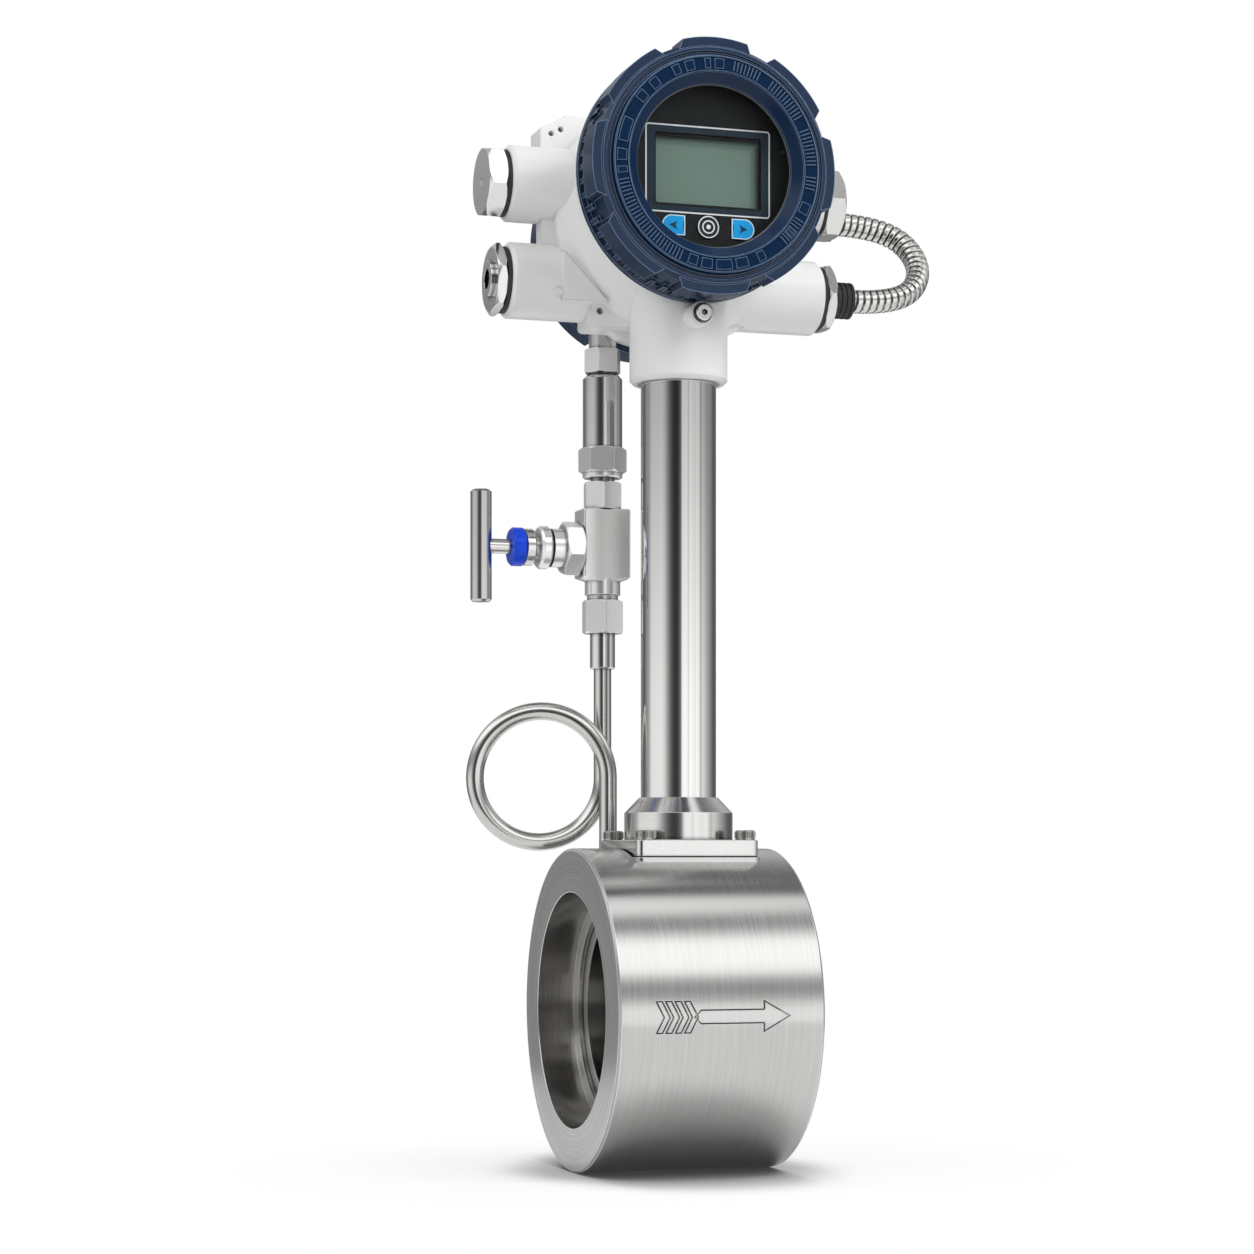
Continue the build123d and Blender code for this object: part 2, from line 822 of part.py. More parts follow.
    # Hollows: front chamber, rear chamber, stem socket, lead holes and entries
    turn_rod(head_section, front_mouth_y - overcut, partition_place, chamber_radius, mode=Mode.SUBTRACT)
    turn_rod(
        rear_section, rear_chamber_y, rear_mouth_y + overcut, rear_chamber_radius, mode=Mode.SUBTRACT
    )
    turn_rod(
        head_section,
        partition_place - overcut,
        rear_chamber_y + overcut,
        lead_hole_radius,
        mode=Mode.SUBTRACT,
    )
    turn_rod(neck_line, neck_bottom - overcut, stem_top, stem_radius + seat_gap, mode=Mode.SUBTRACT)
    turn_rod(
        neck_line,
        neck_bottom - overcut,
        neck_bottom + neck_relief_depth,
        stem_radius + neck_relief,
        mode=Mode.SUBTRACT,
    )
    turn_rod(neck_line, neck_bottom, head_z - entry_start, stem_lead_radius, mode=Mode.SUBTRACT)
    for side, reach, height in entry_places:
        turn_rod(
            side_section(side, 0, boss_depth_place, height),
            entry_start,
            reach + overcut,
            entry_radius,
            mode=Mode.SUBTRACT,
        )
    turn_rod(
        side_section(1, 0, rear_entry_y, head_z),
        entry_start,
        boss_reach + overcut,
        conduit_radius,
        mode=Mode.SUBTRACT,
    )
    turn_rod(
        upright_section(line_x, column_y),
        neck_bottom,
        rear_z - entry_start,
        lead_sleeve_radius + seat_gap,
        mode=Mode.SUBTRACT,
    )
    turn_rod(lock_line, 0, lock_boss_reach + overcut, lock_screw_radius + running_gap, mode=Mode.SUBTRACT)
    with Locations(face_plane(lug_front, head_z - lug_drop).move(Location((-lug_left, 0, 0)))):
        with Locations(lug_hole):
            Hole(lug_hole_radius, depth=small_hole_depth)
    with Locations(face_plane(ear_y, head_z + ear_bottom).move(Location((-ear_left, 0, 0)))):
        with Locations(*ear_holes):
            Hole(ear_hole_radius, depth=small_hole_depth)
head_housing.part.label = "head_housing"


def cover_lobes(plane, inset):
    """Raised grip lobes round a cover: ring sectors with sloping flanks, one at the top."""
    half = radians(lobe_span / 2)
    foot = radians(lobe_span / 2 + lobe_foot)
    outer = cover_radius - inset
    inner = cover_drum_radius - inset - lobe_root
    for place in range(lobe_count):
        centre = pi / 2 + place * 2 * pi / lobe_count
        low, high = centre - half, centre + half
        low_foot, high_foot = centre - foot, centre + foot
        with BuildSketch(plane) as lobe:
            with BuildLine():
                Line(
                    (inner * cos(low_foot), inner * sin(low_foot)),
                    (outer * cos(low), outer * sin(low)),
                )
                ThreePointArc(
                    (outer * cos(low), outer * sin(low)),
                    (outer * cos(centre), outer * sin(centre)),
                    (outer * cos(high), outer * sin(high)),
                )
                Line(
                    (outer * cos(high), outer * sin(high)),
                    (inner * cos(high_foot), inner * sin(high_foot)),
                )
                ThreePointArc(
                    (inner * cos(high_foot), inner * sin(high_foot)),
                    (inner * cos(centre), inner * sin(centre)),
                    (inner * cos(low_foot), inner * sin(low_foot)),
                )
            make_face()
        extrude(lobe.sketch, amount=lobe_length)


# Front cover: drum with rim and lobes, a raised band and a sloping bezel round the window
band_y = cover_front_y
shoulder_y = cover_front_y + cover_band_height
glass_front_y = cover_front_y + window_lip + cover_band_height / 2
gasket_front_y = glass_front_y
glass_y = gasket_front_y + window_gasket_thickness
glass_rear_y = glass_y + glass_thickness
ring_rear_y = glass_rear_y + window_ring_thickness
hub_radius = chamber_radius - slip_gap
o_ring_land = thread_radius + o_ring_thickness + slip_gap + running_gap
o_ring_room = o_ring_thickness + 2 * slip_gap
groove_outer = cover_band_outer + cover_groove_slope + cover_groove_floor
with BuildPart() as front_cover:
    turn(
        head_section,
        (band_y, cover_band_outer),
        (shoulder_y + cover_groove_depth, cover_band_outer + cover_groove_slope),
        (shoulder_y + cover_groove_depth, groove_outer),
        (shoulder_y, groove_outer + cover_groove_slope),
        (shoulder_y, cover_drum_radius - cover_edge_width),
        (shoulder_y + cover_edge_depth, cover_drum_radius),
        (cover_rear_y - cover_rim_length, cover_drum_radius),
        (cover_rear_y - cover_rim_length + cover_rim_slope, cover_rim_radius),
        (cover_rear_y, cover_rim_radius),
        (cover_rear_y, o_ring_land),
        (cover_rear_y - o_ring_room, o_ring_land),
        (cover_rear_y - o_ring_room, thread_bore),
        (front_mouth_y - slip_gap, thread_bore),
        (front_mouth_y - slip_gap, hub_radius),
        (ring_rear_y, hub_radius),
        (ring_rear_y, window_seat_radius),
        (gasket_front_y, window_seat_radius),
        (gasket_front_y, window_radius),
        (gasket_front_y - window_land, window_radius),
        (band_y + cover_band_edge, cover_band_inner - cover_band_edge),
        (band_y, cover_band_inner),
    )
    cover_lobes(face_plane(shoulder_y + lobe_set_back + lobe_length), 0)
    # Short ribs on the drum between the lobes and the rim
    rib_height = cover_rim_radius - cover_rib_inset - cover_drum_radius + edge_break
    with BuildSketch(face_plane(cover_rear_y - cover_rim_length)) as ribs:
        with PolarLocations(cover_drum_radius - edge_break + rib_height / 2, cover_rib_count):
            Rectangle(rib_height, cover_rib_width)
    extrude(ribs.sketch, amount=cover_rib_length)
front_cover.part.label = "front_cover"

with BuildPart() as window_gasket:
    turn(
        head_section,
        (gasket_front_y, window_radius + window_gasket_inset),
        (glass_y, window_radius + window_gasket_inset),
        (glass_y, window_seat_radius - slip_gap),
        (gasket_front_y, window_seat_radius - slip_gap),
    )
window_gasket.part.label = "window_gasket"

with BuildPart() as window_glass:
    turn_rod(head_section, glass_y, glass_rear_y, window_seat_radius - slip_gap)
window_glass.part.label = "window_glass"

with BuildPart() as window_ring:
    turn(
        head_section,
        (glass_rear_y, window_seat_radius - window_ring_width),
        (ring_rear_y, window_seat_radius - window_ring_width),
        (ring_rear_y, window_seat_radius - seat_gap),
        (glass_rear_y, window_seat_radius - seat_gap),
    )
window_ring.part.label = "window_ring"


def cover_o_ring(plane, y, inset):
    """Round section ring lying in the mouth of a cover, clear of the housing's thread."""
    centre_radius = thread_radius - inset + slip_gap + o_ring_thickness / 2
    with BuildSketch(plane) as section:
        with Locations((y, centre_radius)):
            Circle(o_ring_thickness / 2)
    revolve(section.sketch, axis=Axis(plane.origin, plane.x_dir))


with BuildPart() as front_o_ring:
    cover_o_ring(head_section, cover_rear_y - o_ring_room / 2, 0)
front_o_ring.part.label = "front_o_ring"

# Rear cover: the same drum and lobes with a closed, dished face
rear_face_y = rear_cover_y + rear_cover_depth
rear_drum_radius = cover_drum_radius - rear_inset
rear_dish_radius = cover_band_outer - rear_inset
with BuildPart() as rear_cover:
    turn(
        rear_section,
        (rear_cover_y, o_ring_land - rear_inset),
        (rear_cover_y, cover_radius - rear_inset),
        (rear_cover_y + cover_rim_length, cover_radius - rear_inset),
        (rear_cover_y + cover_rim_length + cover_rim_slope, rear_drum_radius),
        (rear_face_y - cover_edge_depth, rear_drum_radius),
        (rear_face_y, rear_drum_radius - cover_edge_depth),
        (rear_face_y, rear_dish_radius),
        (rear_face_y - cover_band_height, rear_dish_radius - cover_dish_slope),
        (rear_face_y - cover_band_height, 0),
        (rear_mouth_y + slip_gap + cover_wall, 0),
        (rear_mouth_y + slip_gap + cover_wall, rear_chamber_radius),
        (rear_mouth_y + slip_gap, thread_bore - rear_inset),
        (rear_cover_y + o_ring_room, thread_bore - rear_inset),
        (rear_cover_y + o_ring_room, o_ring_land - rear_inset),
    )
    cover_lobes(face_plane(rear_face_y - lobe_set_back, rear_z, rear_x), rear_inset)
rear_cover.part.label = "rear_cover"

with BuildPart() as rear_o_ring:
    cover_o_ring(rear_section, rear_cover_y + o_ring_room / 2, rear_inset)
rear_o_ring.part.label = "rear_o_ring"

# Display: a black panel with a recessed screen and three keys, on posts over two boards
display_y = ring_rear_y + display_gap
display_rear_y = display_y + display_thickness
key_z = head_z - key_drop
key_flange_y = display_rear_y + slip_gap
key_rear_y = key_flange_y + key_flange


def key_outline(place, width, height, grow=0.0):
    """A key's outline: a ring in the middle, and hollow-backed shields beside it."""
    if place == 0:
        Circle(ring_key_radius + grow)
        return
    half_width = width / 2 + grow
    half_height = height / 2 + grow
    with BuildLine() as shield:
        ThreePointArc(
            (-place * half_width, -half_height),
            (-place * (half_width - key_hollow), 0),
            (-place * half_width, half_height),
        )
        Line((-place * half_width, half_height), (0, half_height))
        ThreePointArc((0, half_height), (place * half_width, 0), (0, -half_height))
        Line((0, -half_height), (-place * half_width, -half_height))
    make_face(shield.edges())


key_places = (-1, 0, 1)
with BuildPart() as display_panel:
    turn_rod(head_section, display_y, display_rear_y, display_radius)
    with BuildSketch(face_plane(display_y)) as screen_hole:
        with Locations((0, screen_rise)):
            RectangleRounded(screen_width, screen_height, screen_corner)
    extrude(screen_hole.sketch, amount=-display_thickness, mode=Mode.SUBTRACT)
    for place in key_places:
        with BuildSketch(face_plane(display_y, key_z).move(Location((place * key_spacing, 0, 0)))) as hole:
            key_outline(place, key_width, key_height, grow=slip_gap)
        extrude(hole.sketch, amount=-display_thickness, mode=Mode.SUBTRACT)
display_panel.part.label = "display_panel"

board_y = display_y + screen_recess + screen_thickness + board_gap
with BuildPart() as lcd_screen:
    with BuildSketch(face_plane(display_y + screen_recess)):
        with Locations((0, screen_rise)):
            RectangleRounded(screen_width - 2 * seat_gap, screen_height - 2 * seat_gap, screen_corner)
    extrude(amount=-screen_thickness)
    with BuildSketch(face_plane(display_rear_y)) as screen_frame:
        with Locations((0, screen_rise)):
            RectangleRounded(screen_frame_width, screen_frame_height, screen_corner)
    extrude(screen_frame.sketch, amount=-(board_y - display_rear_y))
lcd_screen.part.label = "lcd_screen"

keys = []
for place, name in zip(key_places, ("left_key", "middle_key", "right_key")):
    with BuildPart() as key:
        with BuildSketch(
            face_plane(display_y - key_proud, key_z).move(Location((place * key_spacing, 0, 0)))
        ) as cap:
            key_outline(place, key_width, key_height)
        extrude(cap.sketch, amount=-(key_rear_y - display_y + key_proud))
        with BuildSketch(
            face_plane(key_flange_y, key_z).move(Location((place * key_spacing, 0, 0)))
        ) as flange:
            key_outline(place, key_width, key_height, grow=key_flange_grow)
        extrude(flange.sketch, amount=-key_flange)
    key.part.label = name
    keys.append(key)


def board(plane, chamber):
    """Round circuit board for a chamber, with a flat trimmed off its top and bottom."""
    with BuildSketch(plane) as outline:
        Circle(chamber - board_margin)
        Rectangle(2 * chamber, board_height, mode=Mode.INTERSECT)
        with PolarLocations(chamber - post_margin, 4, start_angle=45):
            Circle(post_radius + seat_gap, mode=Mode.SUBTRACT)
    extrude(outline.sketch, amount=-board_thickness)


with BuildPart() as display_board:
    board(face_plane(board_y), chamber_radius)
    # Three snap switches under the keys
    with BuildSketch(face_plane(key_rear_y + key_travel + slip_gap, key_z)) as switches:
        with GridLocations(key_spacing, 1, 3, 1):
            Rectangle(switch_size, switch_size)
    extrude(switches.sketch, amount=-(board_y - key_rear_y - key_travel - slip_gap))
display_board.part.label = "display_board"

main_board_y = board_y + board_thickness + second_board_gap
with BuildPart() as main_board:
    board(face_plane(main_board_y), chamber_radius)
    with BuildSketch(face_plane(main_board_y)) as chips:
        for across, up, chip_width, chip_depth in (large_chip, small_chip):
            with Locations((across, up)):
                Rectangle(chip_width, chip_depth)
    extrude(chips.sketch, amount=chip_height)
main_board.part.label = "main_board"

with BuildPart() as display_posts:
    with BuildSketch(face_plane(display_rear_y)) as posts:
        with PolarLocations(chamber_radius - post_margin, 4, start_angle=45):
            Circle(post_radius)
    extrude(posts.sketch, amount=-(partition_place - display_rear_y))
display_posts.part.label = "display_posts"

terminal_board_y = rear_chamber_y + terminal_board_gap
with BuildPart() as terminal_board:
    board(face_plane(terminal_board_y, rear_z, rear_x), rear_chamber_radius)
terminal_board.part.label = "terminal_board"

with BuildPart() as terminal_posts:
    with BuildSketch(face_plane(rear_chamber_y, rear_z, rear_x)) as feet:
        with PolarLocations(rear_chamber_radius - post_margin, 4, start_angle=45):
            Circle(post_radius)
    extrude(feet.sketch, amount=-(terminal_board_gap + board_thickness + post_head))
terminal_posts.part.label = "terminal_posts"

terminal_pitch = terminal_width / terminal_count
with BuildPart() as terminal_block:
    block_y = terminal_board_y + board_thickness
    with BuildSketch(face_plane(block_y, rear_z, rear_x)):
        Rectangle(terminal_width, terminal_height)
    extrude(amount=-terminal_depth)
    with BuildSketch(face_plane(block_y + terminal_depth, rear_z, rear_x)) as wells:
        with GridLocations(terminal_pitch, 1, terminal_count, 1):
            Circle(terminal_screw_radius)
    extrude(wells.sketch, amount=terminal_screw_depth, mode=Mode.SUBTRACT)
    wire_place = (rear_x, block_y + terminal_wire_place, rear_z - terminal_height / 2)
    with BuildSketch(Plane(wire_place)) as wires:
        with GridLocations(terminal_pitch, 1, terminal_count, 1):
            Rectangle(terminal_wire_width, terminal_wire_height)
    extrude(wires.sketch, amount=terminal_wire_height, mode=Mode.SUBTRACT)
terminal_block.part.label = "terminal_block"

# Plugs and glands in the four side bosses, each over its own seal
seal_end = plug_seal_thickness


def boss_seal(plane):
    """Flat round seal between a boss and its hexagon."""
    turn(
        plane,
        (0, entry_radius + slip_gap),
        (seal_end, entry_radius + slip_gap),
        (seal_end, plug_seal_radius),
        (0, plug_seal_radius),
    )


def boss_fitting(plane, across, length, turned, bore, nose):
    """Hexagon fitting screwed into a boss, with a bore right through it where there is one."""
    hexagon(plane, seal_end, length, across, turned)
    turn_rod(plane, -plug_shank, seal_end, entry_radius - running_gap)
    if nose:
        turn_rod(plane, seal_end + length, seal_end + length + nose, gland_nose_radius)
    if bore:
        turn_rod(
            plane, -plug_shank - overcut, seal_end + length + nose + overcut, bore, mode=Mode.SUBTRACT
        )


upper_left_line = side_section(-1, left_reach, boss_depth_place, upper_boss_z)
lower_left_line = side_section(-1, left_reach, boss_depth_place, lower_boss_z)
upper_right_line = side_section(1, boss_reach, boss_depth_place, upper_boss_z)
lower_right_line = side_section(1, boss_reach, boss_depth_place, lower_boss_z)
rear_entry_line = side_section(1, boss_reach, rear_entry_y, head_z)

with BuildPart() as upper_left_plug:
    boss_fitting(upper_left_line, plug_across, plug_length, plug_turn, 0, 0)
    turn(
        upper_left_line,
        (seal_end + plug_length - plug_dimple_depth, 0),
        (seal_end + plug_length, 0),
        (seal_end + plug_length, plug_dimple_radius),
        mode=Mode.SUBTRACT,
    )
upper_left_plug.part.label = "upper_left_plug"

with BuildPart() as upper_left_seal:
    boss_seal(upper_left_line)
upper_left_seal.part.label = "upper_left_seal"

with BuildPart() as cable_gland:
    boss_fitting(
        lower_left_line, gland_across, gland_length, gland_turn, gland_bore_radius, gland_nose_length
    )
cable_gland.part.label = "cable_gland"

with BuildPart() as cable_gland_seal:
    boss_seal(lower_left_line)
cable_gland_seal.part.label = "cable_gland_seal"

with BuildPart() as upper_right_plug:
    boss_fitting(upper_right_line, plug_across, plug_length, right_turn, 0, 0)
upper_right_plug.part.label = "upper_right_plug"

with BuildPart() as upper_right_seal:
    boss_seal(upper_right_line)
upper_right_seal.part.label = "upper_right_seal"

with BuildPart() as conduit_gland:
    boss_fitting(lower_right_line, gland_across, gland_length, right_turn, gland_bore_radius, 0)
conduit_gland.part.label = "conduit_gland"

with BuildPart() as conduit_gland_seal:
    boss_seal(lower_right_line)
conduit_gland_seal.part.label = "conduit_gland_seal"


def ribbed_sleeve(plane, start, length):
    """Rubber sleeve over a conduit end, with shallow grooves between its bands."""
    band = length / sleeve_bands
    points = [(start, gland_bore_radius)]
    for place in range(sleeve_bands):
        radius = sleeve_radius - (sleeve_groove if place % 2 else 0)
        points.append((start + place * band, radius))
        points.append((start + (place + 1) * band, radius))
    points.append((start + length, gland_bore_radius))
    turn(plane, *points)


lower_sleeve_start = seal_end + gland_length
with BuildPart() as lower_conduit_sleeve:
    ribbed_sleeve(lower_right_line, lower_sleeve_start, sleeve_length)
lower_conduit_sleeve.part.label = "lower_conduit_sleeve"

rear_sleeve_start = slip_gap + seal_end
with BuildPart() as rear_conduit_gland:
    turn(
        rear_entry_line,
        (-plug_shank, conduit_radius - running_gap - rear_gland_wall),
        (rear_sleeve_start, conduit_radius - running_gap - rear_gland_wall),
        (rear_sleeve_start, sleeve_radius),
        (0, sleeve_radius),
        (0, conduit_radius - running_gap),
        (-plug_shank, conduit_radius - running_gap),
    )
rear_conduit_gland.part.label = "rear_conduit_gland"

with BuildPart() as rear_conduit_sleeve:
    ribbed_sleeve(rear_entry_line, rear_sleeve_start, rear_sleeve_length)
rear_conduit_sleeve.part.label = "rear_conduit_sleeve"

# Metal conduit: a short free loop from the lower gland back to the rear entry
conduit_start = boss_reach + lower_sleeve_start + sleeve_length
conduit_end = boss_reach + rear_sleeve_start + rear_sleeve_length
conduit_back = rear_entry_y - boss_depth_place
conduit_rise = head_z - lower_boss_z
conduit_route = [
    (stem_x + conduit_start, boss_depth_place, lower_boss_z),
    *[
        (stem_x + reach, boss_depth_place + back * conduit_back, lower_boss_z + rise * conduit_rise)
        for reach, back, rise in conduit_corners
    ],
    (stem_x + conduit_end, rear_entry_y, head_z),
]


def route_radii(points):
    """The largest arc at each corner that its two runs leave room for."""
    radii = []
    for before, corner, after in zip(points, points[1:], points[2:]):
        run_in = Vector(corner) - Vector(before)
        run_out = Vector(after) - Vector(corner)
        half_turn = radians(run_in.get_angle(run_out)) / 2
        radii.append(conduit_corner_share * min(run_in.length, run_out.length) / tan(half_turn))
    return radii


conduit_radii = route_radii(conduit_route)
print("conduit radii", [round(radius, 2) for radius in conduit_radii])
with BuildPart() as conduit:
    with BuildLine() as conduit_path:
        FilletPolyline(*conduit_route, radius=conduit_radii)
    print("conduit length", round(conduit_path.wire().length, 2))
    with BuildSketch(Plane(conduit_route[0], z_dir=conduit_path.wire() % 0)):
        Circle(conduit_radius)
    sweep(path=conduit_path.wire())
conduit.part.label = "conduit"

# Stem lock: socket screw with a washer
lock_face = Plane(
    (stem_x, -lock_boss_reach - lock_washer_thickness, lock_z), x_dir=(0, -1, 0), z_dir=(1, 0, 0)
)
with BuildPart() as lock_washer:
    turn(
        lock_face,
        (-lock_washer_thickness, lock_screw_radius + running_gap),
        (0, lock_screw_radius + running_gap),
        (0, lock_washer_radius),
        (-lock_washer_thickness, lock_washer_radius),
    )
lock_washer.part.label = "lock_washer"

with BuildPart() as lock_screw:
    socket_screw(
        lock_face,
        lock_screw_radius,
        lock_boss_reach + lock_washer_thickness - stem_radius - seat_gap,
        lock_head_radius,
        lock_head_height,
        lock_key,
    )
lock_screw.part.label = "lock_screw"

# Siphon: tube that drops from the valve, makes one loop and drops into the body
column_line = upright_section(line_x, column_y)
with BuildPart() as siphon_tube:
    turn_cos, turn_sin = cos(radians(loop_turn)), sin(radians(loop_turn))
    far = (
        line_x - 2 * loop_radius * turn_cos,
        line_depth + 2 * loop_radius * turn_sin,
        loop_z,
    )
    start = (line_x, column_y, loop_z)
    finish = (line_x, outlet_y, loop_z)
    low_mid = ((start[0] + far[0]) / 2, (start[1] + far[1]) / 2)
    top_mid = ((finish[0] + far[0]) / 2, (finish[1] + far[1]) / 2)
    low_radius = sqrt((start[0] - far[0]) ** 2 + (start[1] - far[1]) ** 2) / 2
    top_radius = sqrt((finish[0] - far[0]) ** 2 + (finish[1] - far[1]) ** 2) / 2
    with BuildLine() as siphon_path:
        Line((line_x, column_y, tube_top), start)
        ThreePointArc(start, (*low_mid, loop_z - low_radius), far)
        ThreePointArc(far, (*top_mid, loop_z + top_radius), finish)
        Line(finish, (line_x, outlet_y, tube_seat_z))
    with BuildSketch(Plane((line_x, column_y, tube_top), z_dir=(0, 0, -1))):
        Circle(tube_radius)
        Circle(tube_radius - tube_wall, mode=Mode.SUBTRACT)
    sweep(path=siphon_path.wire())
siphon_tube.part.label = "siphon_tube"

with BuildPart() as tube_ferrule:
    turn(
        column_line,
        (ferrule_base, tube_radius + seat_gap),
        (tube_top, tube_radius + seat_gap),
        (tube_top, passage_radius),
        (ferrule_top, passage_radius),
        (ferrule_top, ferrule_radius),
        (ferrule_base + fine_chamfer, ferrule_radius),
        (ferrule_base, ferrule_radius - fine_chamfer),
    )
tube_ferrule.part.label = "tube_ferrule"

with BuildPart() as lower_nut:
    hexagon(column_line, lower_nut_base, lower_nut_length, lower_nut_across, lower_nut_turn)
    turn_rod(
        column_line, lower_nut_base - overcut, ferrule_top, ferrule_radius + seat_gap, mode=Mode.SUBTRACT
    )
    turn_rod(
        column_line,
        ferrule_top,
        lower_nut_top + overcut,
        valve_spigot_radius + running_gap,
        mode=Mode.SUBTRACT,
    )
lower_nut.part.label = "lower_nut"

# Valve block with its tail, the bonnet's thread and the needle's cross bore
needle_z = valve_base + needle_rise
block_face = valve_width / 2
bonnet_line = Plane((line_x - block_face, column_y, needle_z), x_dir=(-1, 0, 0), z_dir=(0, 1, 0))
spigot_bottom = ferrule_top + seat_gap
with BuildPart() as valve_body:
    with BuildSketch(Plane.XY.offset(valve_base)):
        with Locations((line_x, column_y)):
            RectangleRounded(valve_width, valve_depth, wide_chamfer)
    extrude(amount=valve_height)
    chamfer(valve_body.faces().sort_by(Axis.Z)[-1].edges(), fine_chamfer)
    turn(
        column_line,
        (valve_base, 0),
        (valve_top, 0),
        (valve_top, valve_width),
        (valve_base + (valve_width - valve_end_radius) * valve_end_slope, valve_width),
        (valve_base, valve_end_radius),
        mode=Mode.INTERSECT,
    )
    turn(
        column_line,
        (spigot_bottom, 0),
        (valve_base + overcut, 0),
        (valve_base + overcut, valve_shoulder_radius),
        (valve_base - valve_shoulder_length + fine_chamfer, valve_shoulder_radius),
        (valve_base - valve_shoulder_length, valve_collar_radius),
        (lower_nut_top, valve_collar_radius),
        (lower_nut_top, valve_spigot_radius),
        (spigot_bottom, valve_spigot_radius),
    )
    turn_rod(column_line, spigot_bottom - overcut, valve_top, passage_radius, mode=Mode.SUBTRACT)
    turn_rod(
        column_line,
        valve_top - adapter_shank_length,
        valve_top + overcut,
        adapter_shank_radius + running_gap,
        mode=Mode.SUBTRACT,
    )
    turn_rod(
        bonnet_line, -bonnet_shank_length, overcut, bonnet_shank_radius + running_gap, mode=Mode.SUBTRACT
    )
    turn_rod(
        bonnet_line,
        -block_face - passage_radius - needle_seat_depth - needle_point,
        0,
        needle_radius + running_gap,
        mode=Mode.SUBTRACT,
    )
valve_body.part.label = "valve_body"

with BuildPart() as pressure_adapter:
    hexagon(column_line, valve_top, adapter_hex_length, adapter_across, adapter_turn)
    turn_rod(column_line, valve_top - adapter_shank_length, valve_top, adapter_shank_radius)
    turn_rod(column_line, adapter_hex_top, adapter_top, adapter_neck_radius)
    turn_rod(column_line, adapter_top - adapter_lip_length, adapter_top, adapter_lip_radius)
    turn_rod(
        column_line,
        valve_top - adapter_shank_length - overcut,
        adapter_top + overcut,
        passage_radius,
        mode=Mode.SUBTRACT,
    )
pressure_adapter.part.label = "pressure_adapter"

with BuildPart() as union_nut:
    hexagon(column_line, union_base, union_length, union_across, union_turn)
    turn(
        column_line,
        (union_skirt_base, 0),
        (union_base, 0),
        (union_base, union_skirt_radius),
        (union_skirt_base + fine_chamfer, union_skirt_radius),
        (union_skirt_base, union_skirt_radius - fine_chamfer),
    )
    turn_rod(
        column_line,
        union_skirt_base - overcut,
        union_top,
        adapter_neck_radius + running_gap,
        mode=Mode.SUBTRACT,
    )
    turn_rod(
        column_line,
        adapter_top - adapter_lip_length,
        union_top + overcut,
        sensor_thread_radius + running_gap,
        mode=Mode.SUBTRACT,
    )
union_nut.part.label = "union_nut"

with BuildPart() as pressure_sensor:
    turn(
        column_line,
        (adapter_top + seat_gap, 0),
        (sensor_top, 0),
        (sensor_top, sensor_radius - sensor_shoulder),
        (sensor_top - sensor_shoulder, sensor_radius),
        (union_top, sensor_radius),
        (union_top, sensor_thread_radius),
        (adapter_top + seat_gap, sensor_thread_radius),
    )
    turn_rod(
        column_line,
        adapter_top,
        union_top + sensor_length / 3,
        passage_radius,
        mode=Mode.SUBTRACT,
    )
    turn_rod(
        column_line,
        sensor_top - sensor_lead_depth,
        sensor_top + overcut,
        lead_bore_radius,
        mode=Mode.SUBTRACT,
    )
pressure_sensor.part.label = "pressure_sensor"

with BuildPart() as sensor_cap:
    hexagon(column_line, cap_base, cap_length, cap_across, cap_turn)
    turn_rod(column_line, sensor_top, cap_base, cap_neck_radius)
    turn_rod(column_line, sensor_top - overcut, cap_top + overcut, lead_bore_radius, mode=Mode.SUBTRACT)
sensor_cap.part.label = "sensor_cap"

with BuildPart() as lead_sleeve:
    turn(
        column_line,
        (cap_top, lead_bore_radius),
        (lead_entry_z + lead_grip, lead_bore_radius),
        (lead_entry_z + lead_grip, lead_sleeve_radius),
        (cap_top, lead_sleeve_radius),
    )
lead_sleeve.part.label = "lead_sleeve"

# Needle valve, outwards from the block's left face
barrel_end = bonnet_hex_length + bonnet_barrel_length
collar_start = barrel_end + bonnet_groove_length
collar_end = collar_start + bonnet_collar_length
spigot_end = collar_end + bonnet_spigot_length
with BuildPart() as valve_bonnet:
    hexagon(bonnet_line, 0, bonnet_hex_length, bonnet_across, bonnet_turn)
    turn(
        bonnet_line,
        (-bonnet_shank_length, 0),
        (spigot_end, 0),
        (spigot_end, bonnet_spigot_radius),
        (collar_end, bonnet_spigot_radius),
        (collar_end, bonnet_collar_radius - wide_chamfer),
        (collar_end - wide_chamfer, bonnet_collar_radius),
        (collar_start + wide_chamfer, bonnet_collar_radius),
        (collar_start, bonnet_collar_radius - wide_chamfer),
        (collar_start, bonnet_groove_radius),
        (barrel_end, bonnet_groove_radius),
        (barrel_end, bonnet_barrel_radius),
        (bonnet_hex_length, bonnet_barrel_radius),
        (0, bonnet_barrel_radius),
        (0, bonnet_shank_radius),
        (-bonnet_shank_length, bonnet_shank_radius),
    )
    turn_rod(
        bonnet_line,
        -bonnet_shank_length - overcut,
        spigot_end - bonnet_end_wall,
        valve_thread_radius + running_gap,
        mode=Mode.SUBTRACT,
    )
    turn_rod(bonnet_line, 0, spigot_end + overcut, valve_stem_radius + running_gap, mode=Mode.SUBTRACT)
valve_bonnet.part.label = "valve_bonnet"

